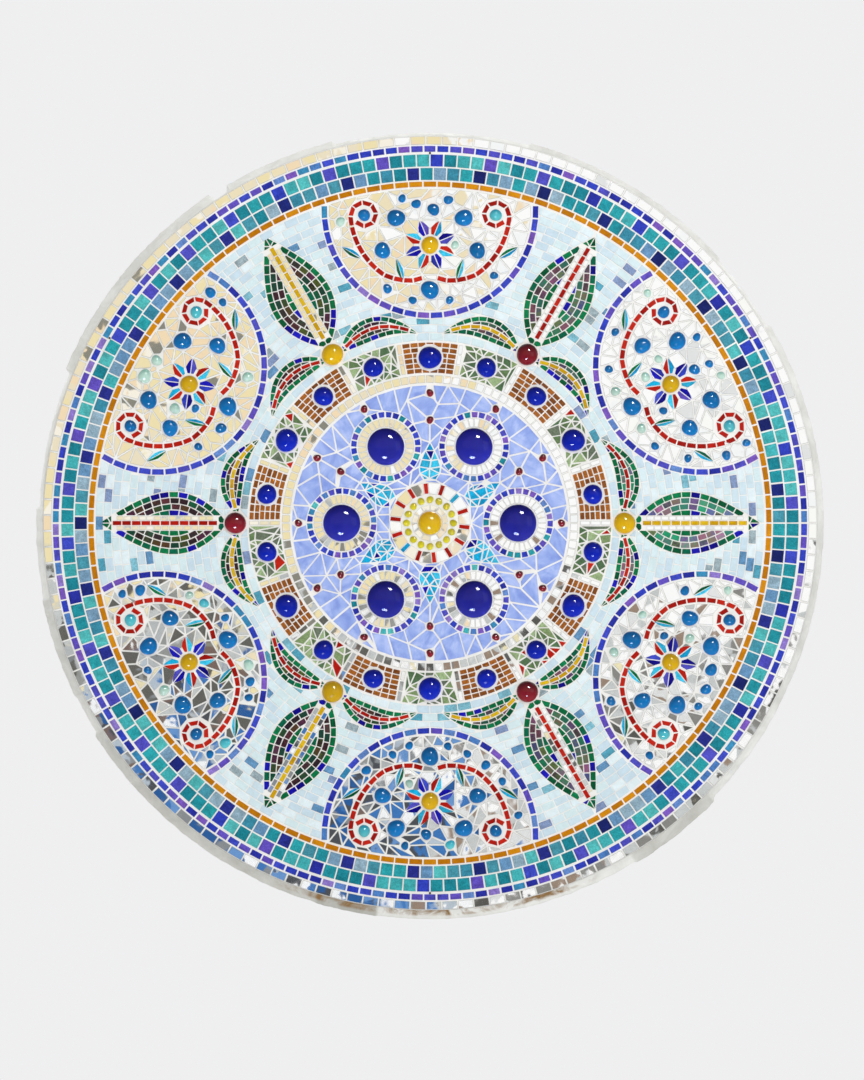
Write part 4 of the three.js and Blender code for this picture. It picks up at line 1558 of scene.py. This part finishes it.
@dataclass
class JewelledBand:
    """The band of brown and olive segments, each with a gem and parted by mirror bars."""

    dice: random.Random
    inner: float = 221.0
    outer: float = 267.0
    gem_circle: float = 244.0
    gem_radii: tuple[float, ...] = (17.0, 14.5, 14.5)
    rows: int = 6
    row_pitches: tuple[float, float] = (11.5, 12.5)
    bar: float = 7.5
    bar_pitch: float = 15.0
    joint: float = 1.7
    gem_margins: tuple[float, float] = (3.0, 2.4)
    shard_spacing: float = 13.5
    red_share: float = 0.08

    def build(self) -> None:
        """Lay each segment's rows or shards round its gem, then the bar beside it."""
        count = SECTORS * len(self.gem_radii)
        gems = []
        bed = TileBed("jewelled_band_tiles", "copper_brown", self.dice, chamfer=0.3)
        bars = TileBed("jewelled_band_bars", "mirror", self.dice)
        for index in range(count):
            turn = math.pi / 2 + FULL_TURN * index / count
            radius = self.gem_radii[index % len(self.gem_radii)]
            gems.append(Gem(polar(self.gem_circle, turn), radius, BLUE_GEM, roundness=0.03))
            half = FULL_TURN / count / 2
            if index % 2:
                self.lay_shards(bed, turn, half, gems[-1])
            else:
                self.lay_rows(bed, turn, half, gems[-1])
            bar = [polar(self.inner, turn + half), polar(self.outer, turn + half)]
            for tile in row(bar, self.bar - self.joint, self.bar_pitch, self.joint, self.dice):
                bars.lay(tile, MIRROR)
        bed.build(["jewelled_band"])
        bars.build(["jewelled_band"])
        GemTray("jewelled_band_gems", "cobalt", self.dice, gems).build(["jewelled_band"])

    def lay_rows(self, bed: TileBed, turn: float, half: float, gem: Gem) -> None:
        """Fill one segment with rows of brown tiles, cut back round its gem."""
        around = outside_circle(gem.centre, gem.radius)
        step = (self.outer - self.inner) / self.rows
        for number in range(self.rows):
            at = self.inner + (number + 0.5) * step
            away = (self.bar / 2 + self.joint / 2) / at
            path = arc(CENTRE, at, turn - half + away, turn + half - away)
            pitch = self.row_pitches[number % 2]
            for tile in row(path, step - self.joint, pitch, self.joint, self.dice):
                bed.lay(trim(tile, [around], self.gem_margins[0]), COPPER)

    def lay_shards(self, bed: TileBed, turn: float, half: float, gem: Gem) -> None:
        """Fill one segment with small olive shards, a few of them red."""
        inner, outer = self.inner - 1.0, self.outer + 1.0
        away = [half - (self.bar / 2 + 0.4) / at for at in (inner, outer)]
        outline = [*resample(arc(CENTRE, inner, turn - away[0], turn + away[0]), 13.0),
                   *resample(arc(CENTRE, outer, turn + away[1], turn - away[1]), 13.0)]
        hole = circle(gem.centre, gem.radius + self.gem_margins[1], 12.0, self.dice.random())
        field_of = ShardField(outline, [hole], self.shard_spacing, self.dice, joint=2.1, merging=0.15)
        for shard in field_of.cut():
            bed.lay(shard, pick(self.dice, ((OLIVE, 1 - self.red_share), (RED, self.red_share))))


@dataclass
class Medallion:
    """The round heart of the panel: periwinkle shards, ringed cabochons and a sun rosette."""

    dice: random.Random
    course: Course = Course(207.0, 218.0, pitch=12.6, joint=1.8)
    radius: float = 204.5
    cabochon_circle: float = 130.0
    cabochon_radius: float = 27.5
    petals: Course = Course(29.5, 41.5, pitch=7.69, joint=1.1)
    squares: Course = Course(43.6, 51.4, pitch=10.6, joint=2.6)
    ring_radius: float = 52.6
    ruby_radius: float = 5.6
    ruby_circles: tuple[tuple[float, ...], ...] = ((192.0, 152.0), (194.0,))
    ray_tip: float = 119.0
    ray_widths: tuple[tuple[float, float], ...] = ((63.5, 8.5), (73.0, 14.5), (83.0, 16.0),
                                                   (94.0, 12.5), (107.0, 6.5))
    ray_spacing: float = 11.5
    shard_spacing: float = 31.0
    sun_radius: float = 60.4
    sun_gem_radius: float = 17.5
    sun_petals: Course = Course(19.2, 27.2, pitch=12.0, joint=1.2)
    sun_beads: int = 16
    bead_circle: float = 34.5
    bead_radius: float = 5.4
    sun_rays: int = 28
    red_ray: tuple[tuple[float, float], ...] = ((43.5, -2.6), (58.5, -2.9), (58.5, 2.9), (43.5, 2.6))
    mirror_ray: tuple[tuple[float, float], ...] = ((42.5, 1.15), (59.0, 1.42))

    def build(self) -> None:
        """Lay the course, the ringed cabochons, the sun and the shards."""
        course = TileBed("medallion_mirror_tiles", "mirror", self.dice, tilt=EVEN_TILT)
        for tile in self.course.tiles(CENTRE, self.dice):
            course.lay(tile, MIRROR)
        course.build(["medallion_mirror_course"])
        holes = [circle(CENTRE, self.sun_radius, 26.0)]
        for index in range(SECTORS):
            centre = polar(self.cabochon_circle, math.pi / 2 + (index - 0.5) * FULL_TURN / SECTORS)
            holes.append(circle(centre, self.ring_radius, 26.0, self.dice.random()))
            self.lay_cabochon(index, centre)
        places = [polar(r, math.pi / 2 + i * FULL_TURN / (2 * SECTORS))
                  for i in range(2 * SECTORS) for r in self.ruby_circles[i % 2]]
        rubies = [Gem(spot, self.ruby_radius, RUBY_GEM, roundness=0.08) for spot in places]
        rays = [self.ray(math.pi / 2 + i * FULL_TURN / SECTORS) for i in range(SECTORS)]
        holes += rays
        self.lay_rays(rays)
        GemTray("medallion_gems", "gem_red", self.dice, rubies).build()
        shards = TileBed("medallion_shards", "periwinkle", self.dice, smallest=2.0)
        rim = resample(arc(CENTRE, self.radius, 0, FULL_TURN), 27.0)[:-1]
        field_of = ShardField(rim, holes, self.shard_spacing, self.dice, joint=2.4, merging=0.45,
                              knots=rubies, margin=1.6)
        for shard in field_of.cut():
            shards.lay(shard, PERIWINKLE)
        shards.build(["medallion_field"])
        self.build_sun()

    def ray(self, turn: float) -> Polygon:
        """The outline of one pointed ray between two cabochons."""
        out, side = polar(1.0, turn), polar(1.0, turn + math.pi / 2)
        left = [out * r + side * w for r, w in self.ray_widths]
        right = [out * r - side * w for r, w in self.ray_widths]
        return [*right, out * self.ray_tip, *reversed(left)]

    def lay_rays(self, rays: Sequence[Polygon]) -> None:
        """Fill the rays round the sun with small cyan shards, a few of them cobalt."""
        bed = TileBed("medallion_rays", "turquoise", self.dice, chamfer=0.3)
        for outline in rays:
            field_of = ShardField(outline, [], self.ray_spacing, self.dice, joint=1.9, merging=0.2)
            for shard in field_of.cut():
                bed.lay(shard, pick(self.dice, ((CYAN, 0.8), (COBALT_TILE, 0.2))))
        bed.build(["medallion_field"])

    def lay_cabochon(self, index: int, centre: Vector) -> None:
        """Set one large gem with its ring of petals and its ring of small squares."""
        name = f"cabochon_{index + 1}"
        gem = Gem(centre, self.cabochon_radius, CABOCHON_GLASS, rise=0.2, roundness=0.006)
        GemTray(f"{name}_gem", "cobalt", self.dice, [gem]).build([name])
        rings = TileBed(f"{name}_rings", "violet_blue", self.dice, chamfer=0.3, tilt=EVEN_TILT)
        turn = self.dice.uniform(0, FULL_TURN)
        for tile in self.petals.tiles(centre, self.dice, turn):
            rings.lay(self.wedge(tile, centre), MIRROR)
        for tile in self.squares.tiles(centre, self.dice, turn):
            rings.lay(tile, pick(self.dice, ((DASH_BLUE, 0.62), (DASH_STEEL, 0.28), (TURQUOISE, 0.1))))
        rings.build(["medallion_field"])

    @staticmethod
    def wedge(tile: Polygon, centre: Vector) -> Polygon:
        """Narrow a tile's inner end so that the joints beside it run to the centre."""
        narrowing = 0.06
        reach = [(p - centre).length for p in tile]
        middle = sum(reach) / len(reach)
        end = centroid([p for p, r in zip(tile, reach) if r < middle])
        return [p if r > middle else p.lerp(end, narrowing) for p, r in zip(tile, reach)]

    def build_sun(self) -> None:
        """Lay the sun: a gem, a ring of petals, beads, and mirror rays with coloured ones between."""
        gem = Gem(CENTRE, self.sun_gem_radius, SUN_GEM, roundness=0.01)
        GemTray("sun_centre_gem", "sun_yellow", self.dice, [gem]).build(["sun_gem"])
        tiles = TileBed("sun_tiles", "sun_yellow", self.dice, chamfer=0.3, tilt=EVEN_TILT)
        for tile in self.sun_petals.tiles(CENTRE, self.dice):
            tiles.lay(tile, MIRROR)
        turns = [FULL_TURN * index / self.sun_beads for index in range(self.sun_beads)]
        beads = [Gem(polar(self.bead_circle, t), self.bead_radius, LEMON_GEM, rise=0.4) for t in turns]
        half = FULL_TURN / self.sun_rays / 2
        (near, near_gain), (far, far_gain) = self.mirror_ray
        near_half, far_half = half * near * near_gain, half * far * far_gain
        mirror = ((near, -near_half), (far, -far_half), (far, far_half), (near, near_half))
        for index in range(self.sun_rays):
            turn = FULL_TURN * (index + 0.5) / self.sun_rays
            out, side = polar(1.0, turn), polar(1.0, turn + math.pi / 2)
            colour = CYAN if index % 7 == 3 else RED
            shape, finish = (self.red_ray, colour) if index % 2 else (mirror, MIRROR)
            tiles.lay([out * r + side * w for r, w in shape], finish)
        tiles.build(["sun_rosette"])
        GemTray("sun_beads", "sun_yellow", self.dice, beads).build(["sun_rosette"])


@dataclass
class Studio:
    """The plain pale surroundings, the light and the camera.

    `reflections` holds what the mirrors show at the upper left, the upper right, the lower right,
    the lower left and the foot: sRGB colours with the percentages of the cells that take them.
    """

    distance: float = 4.0
    frame_height: float = 1.598
    drop: float = 0.025
    aside: float = 0.003
    floor_depth: float = -1.3
    floor_half: float = 1.8
    key: tuple[float, float, float] = (0.75, -2.6, 1.9)
    fill: tuple[float, float, float] = (2.6, -2.4, 0.4)
    low: tuple[float, float, float] = (-0.3, -2.6, -1.9)
    pane_strength: float = 150.0
    reflections: tuple[tuple[tuple[str, float], ...], ...] = (
        (("#f2e3b4", 42), ("#f0e3c0", 17), ("#f5deba", 17), ("#eee2c6", 15), ("#8c8a80", 2),
         ("#faf4e6", 7)),
        (("#ffffff", 58), ("#f8fafb", 20), ("#fdfdfa", 11), ("#e4e6e6", 6), ("#8b8c8a", 2),
         ("#fdfdfd", 3)),
        (("#fefefe", 32), ("#c9cdcd", 18), ("#8b8a87", 14), ("#5b5a57", 13), ("#9c8878", 8),
         ("#ece2ba", 4), ("#e2e4e4", 11)),
        (("#c6caca", 26), ("#989a98", 19), ("#666560", 19), ("#7c6a62", 9), ("#f4f5f5", 11),
         ("#b6babc", 10), ("#ebe0ba", 6)),
        (("#447abc", 25), ("#6c98d0", 13), ("#505358", 15), ("#8c9093", 14), ("#30609e", 9),
         ("#f8fafc", 12), ("#b8c4d0", 12)),
    )

    def build(self) -> None:
        """Set up the world, the lights, the floor and the camera."""
        self.make_world()
        self.make_light("key_softbox", self.key, size=0.6, power=29.0)
        self.make_light("fill_softbox", self.fill, size=2.0, power=11.0)
        self.make_light("low_softbox", self.low, size=0.5, power=10.0)
        self.make_floor()
        self.make_camera()

    def make_camera(self) -> None:
        """Stand the camera square in front of the panel."""
        data = bpy.data.cameras.new("front_camera")
        data.sensor_fit = "VERTICAL"
        data.sensor_height = 36.0
        data.lens = data.sensor_height * self.distance / self.frame_height
        camera = bpy.data.objects.new("front_camera", data)
        camera.location = (self.aside, -self.distance, -self.drop)
        camera.rotation_euler = (math.pi / 2, 0, 0)
        bpy.context.scene.collection.objects.link(camera)
        bpy.context.scene.camera = camera

    def make_light(self, name: str, spot: tuple[float, float, float], size: float, power: float) -> None:
        """Hang a square softbox that looks at the panel."""
        data = bpy.data.lights.new(name, "AREA")
        data.energy, data.size = power, size
        lamp = bpy.data.objects.new(name, data)
        lamp.location = spot
        lamp.rotation_euler = (-Vector(spot)).to_track_quat("-Z", "Y").to_euler()
        bpy.context.scene.collection.objects.link(lamp)

    def make_floor(self) -> None:
        """Lay a pale floor well below the panel, where the front view doesn't see it."""
        bm = bmesh.new()
        bmesh.ops.create_grid(bm, x_segments=1, y_segments=1, size=self.floor_half)
        bmesh.ops.translate(bm, verts=bm.verts, vec=(0, 0.4, self.floor_depth))
        floor = make_object("pale_floor", bm, [Cement("pale_floor", "#ecebe8", "#e2e1de")])

    def make_world(self) -> None:
        """Surround the panel with the room that its mirrors reflect, on a plain pale ground."""
        world = bpy.data.worlds.new("studio")
        world.use_nodes = True
        bpy.context.scene.world = world
        tree = world.node_tree
        tree.nodes.clear()
        direction = add_node(tree, "TexCoord").outputs["Generated"]
        axes = add_node(tree, "SeparateXYZ", {0: direction})
        cells = add_node(tree, "TexVoronoi", {"Vector": direction, "Scale": 86.0}).outputs["Color"]
        lots = add_node(tree, "SeparateXYZ", {0: cells})
        cream, white, grey, dim, blue = (self.palette(tree, lots.outputs["X"], shares)
                                         for shares in self.reflections)
        shift = add_node(tree, "Math", {0: lots.outputs["Y"], 1: 0.04, 2: -0.02}, operation="MULTIPLY_ADD")
        x, z = (add_node(tree, "Math", {0: axes.outputs[axis], 1: shift.outputs[0]},
                         operation="ADD").outputs[0] for axis in ("X", "Z"))
        right = self.step(tree, x, 0.0, 0.006)
        low = self.step(tree, z, -0.018, -0.023)
        lowest = self.step(tree, z, -0.058, -0.063)
        upper = self.blend(tree, right, cream, white)
        lower = self.blend(tree, right, self.blend(tree, lowest, dim, blue), grey)
        grain = add_node(tree, "TexNoise", {"Vector": direction, "Scale": 2200.0,
                                            "Detail": 1.0}).outputs["Fac"]
        gain = add_node(tree, "MapRange", {"Value": grain, "From Min": 0.3, "From Max": 0.7,
                                           "To Min": 0.74, "To Max": 1.22}).outputs["Result"]
        lower = add_node(tree, "VectorMath", {0: lower, "Scale": gain}, operation="SCALE").outputs["Vector"]
        front = self.blend(tree, low, upper, lower)
        path = add_node(tree, "LightPath")
        room = self.blend(tree, path.outputs["Is Glossy Ray"], "#eaeaea", "#acafb3")
        ahead = self.step(tree, axes.outputs["Y"], -0.7, -0.85)
        around = self.blend(tree, ahead, room, front)
        shown = self.blend(tree, path.outputs["Is Camera Ray"], around, "#efeff0")
        high_pane = self.pane(tree, direction, self.key, 7.0)
        low_pane = self.pane(tree, direction, self.low, 8.5)
        panes = add_node(tree, "Math", {0: high_pane, 1: low_pane}, operation="ADD").outputs[0]
        seen = add_node(tree, "Math", {0: panes, 1: path.outputs["Is Glossy Ray"]},
                        operation="MULTIPLY").outputs[0]
        strength = add_node(tree, "Math", {0: seen, 1: self.pane_strength, 2: 1.0},
                            operation="MULTIPLY_ADD")
        light = add_node(tree, "Background", {"Color": shown, "Strength": strength.outputs[0]})
        add_node(tree, "OutputWorld", {"Surface": light.outputs[0]})

    def pane(self, tree: bpy.types.NodeTree, direction: bpy.types.NodeSocket,
             towards: tuple[float, float, float], half_angle: float) -> bpy.types.NodeSocket:
        """Where a round lit pane shows that the gems glint with, by the half angle it fills in degrees."""
        facing = add_node(tree, "VectorMath", {0: direction, 1: Vector(towards).normalized()},
                          operation="DOT_PRODUCT").outputs["Value"]
        edge = math.cos(math.radians(half_angle))
        return self.step(tree, facing, edge, edge + 0.002)

    @staticmethod
    def palette(tree: bpy.types.NodeTree, lot: bpy.types.NodeSocket,
                shares: Sequence[tuple[str, float]]) -> bpy.types.NodeSocket:
        """One of some colours for each drawn lot, by their percentages."""
        stops, taken = [], 0.0
        for colour, percent in shares:
            stops.append((taken, colour))
            taken += percent / 100
        return ramp(tree, lot, stops, constant=True)

    @staticmethod
    def blend(tree: bpy.types.NodeTree, factor: bpy.types.NodeSocket, first: bpy.types.NodeSocket | str,
              second: bpy.types.NodeSocket | str) -> bpy.types.NodeSocket:
        """A mix of two colours, each a socket or an sRGB hex value."""
        plain = [(*linear(c), 1.0) if isinstance(c, str) else c for c in (first, second)]
        return add_node(tree, "Mix", {0: factor, 6: plain[0], 7: plain[1]}, data_type="RGBA").outputs[2]

    @staticmethod
    def step(tree: bpy.types.NodeTree, value: bpy.types.NodeSocket, low: float,
             high: float) -> bpy.types.NodeSocket:
        """A smooth step from nothing at one value to the whole at the other."""
        return add_node(tree, "MapRange", {"Value": value, "From Min": low, "From Max": high},
                        interpolation_type="SMOOTHSTEP").outputs["Result"]


def main() -> None:
    """Build the panel piece by piece."""
    logging.basicConfig(level=logging.INFO, format="%(message)s")
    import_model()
    bpy.context.scene.view_settings.view_transform = "Standard"
    Studio().build()
    MortarBed().build()
    GroutSheet().build()
    Border(random.Random(SEED)).build()
    lobes = [Lobe(i, random.Random(SEED + 10 + i)) for i in range(SECTORS)]
    palmettes = [Palmette(i, random.Random(SEED + 30 + i)) for i in range(SECTORS)]
    for part in (*lobes, *palmettes):
        part.build()
    GemTray("palmette_gems", "gem_red", random.Random(SEED + 40), [p.gem() for p in palmettes]).build()
    PaleGround(random.Random(SEED + 50), lobes, palmettes).build()
    JewelledBand(random.Random(SEED + 60)).build()
    Medallion(random.Random(SEED + 70)).build()
    for node in bpy.context.scene.objects:
        if node.name.startswith("fixing_screw"):
            for slot in node.material_slots:
                slot.material = STEEL.material()


if __name__ == "__main__":
    main()
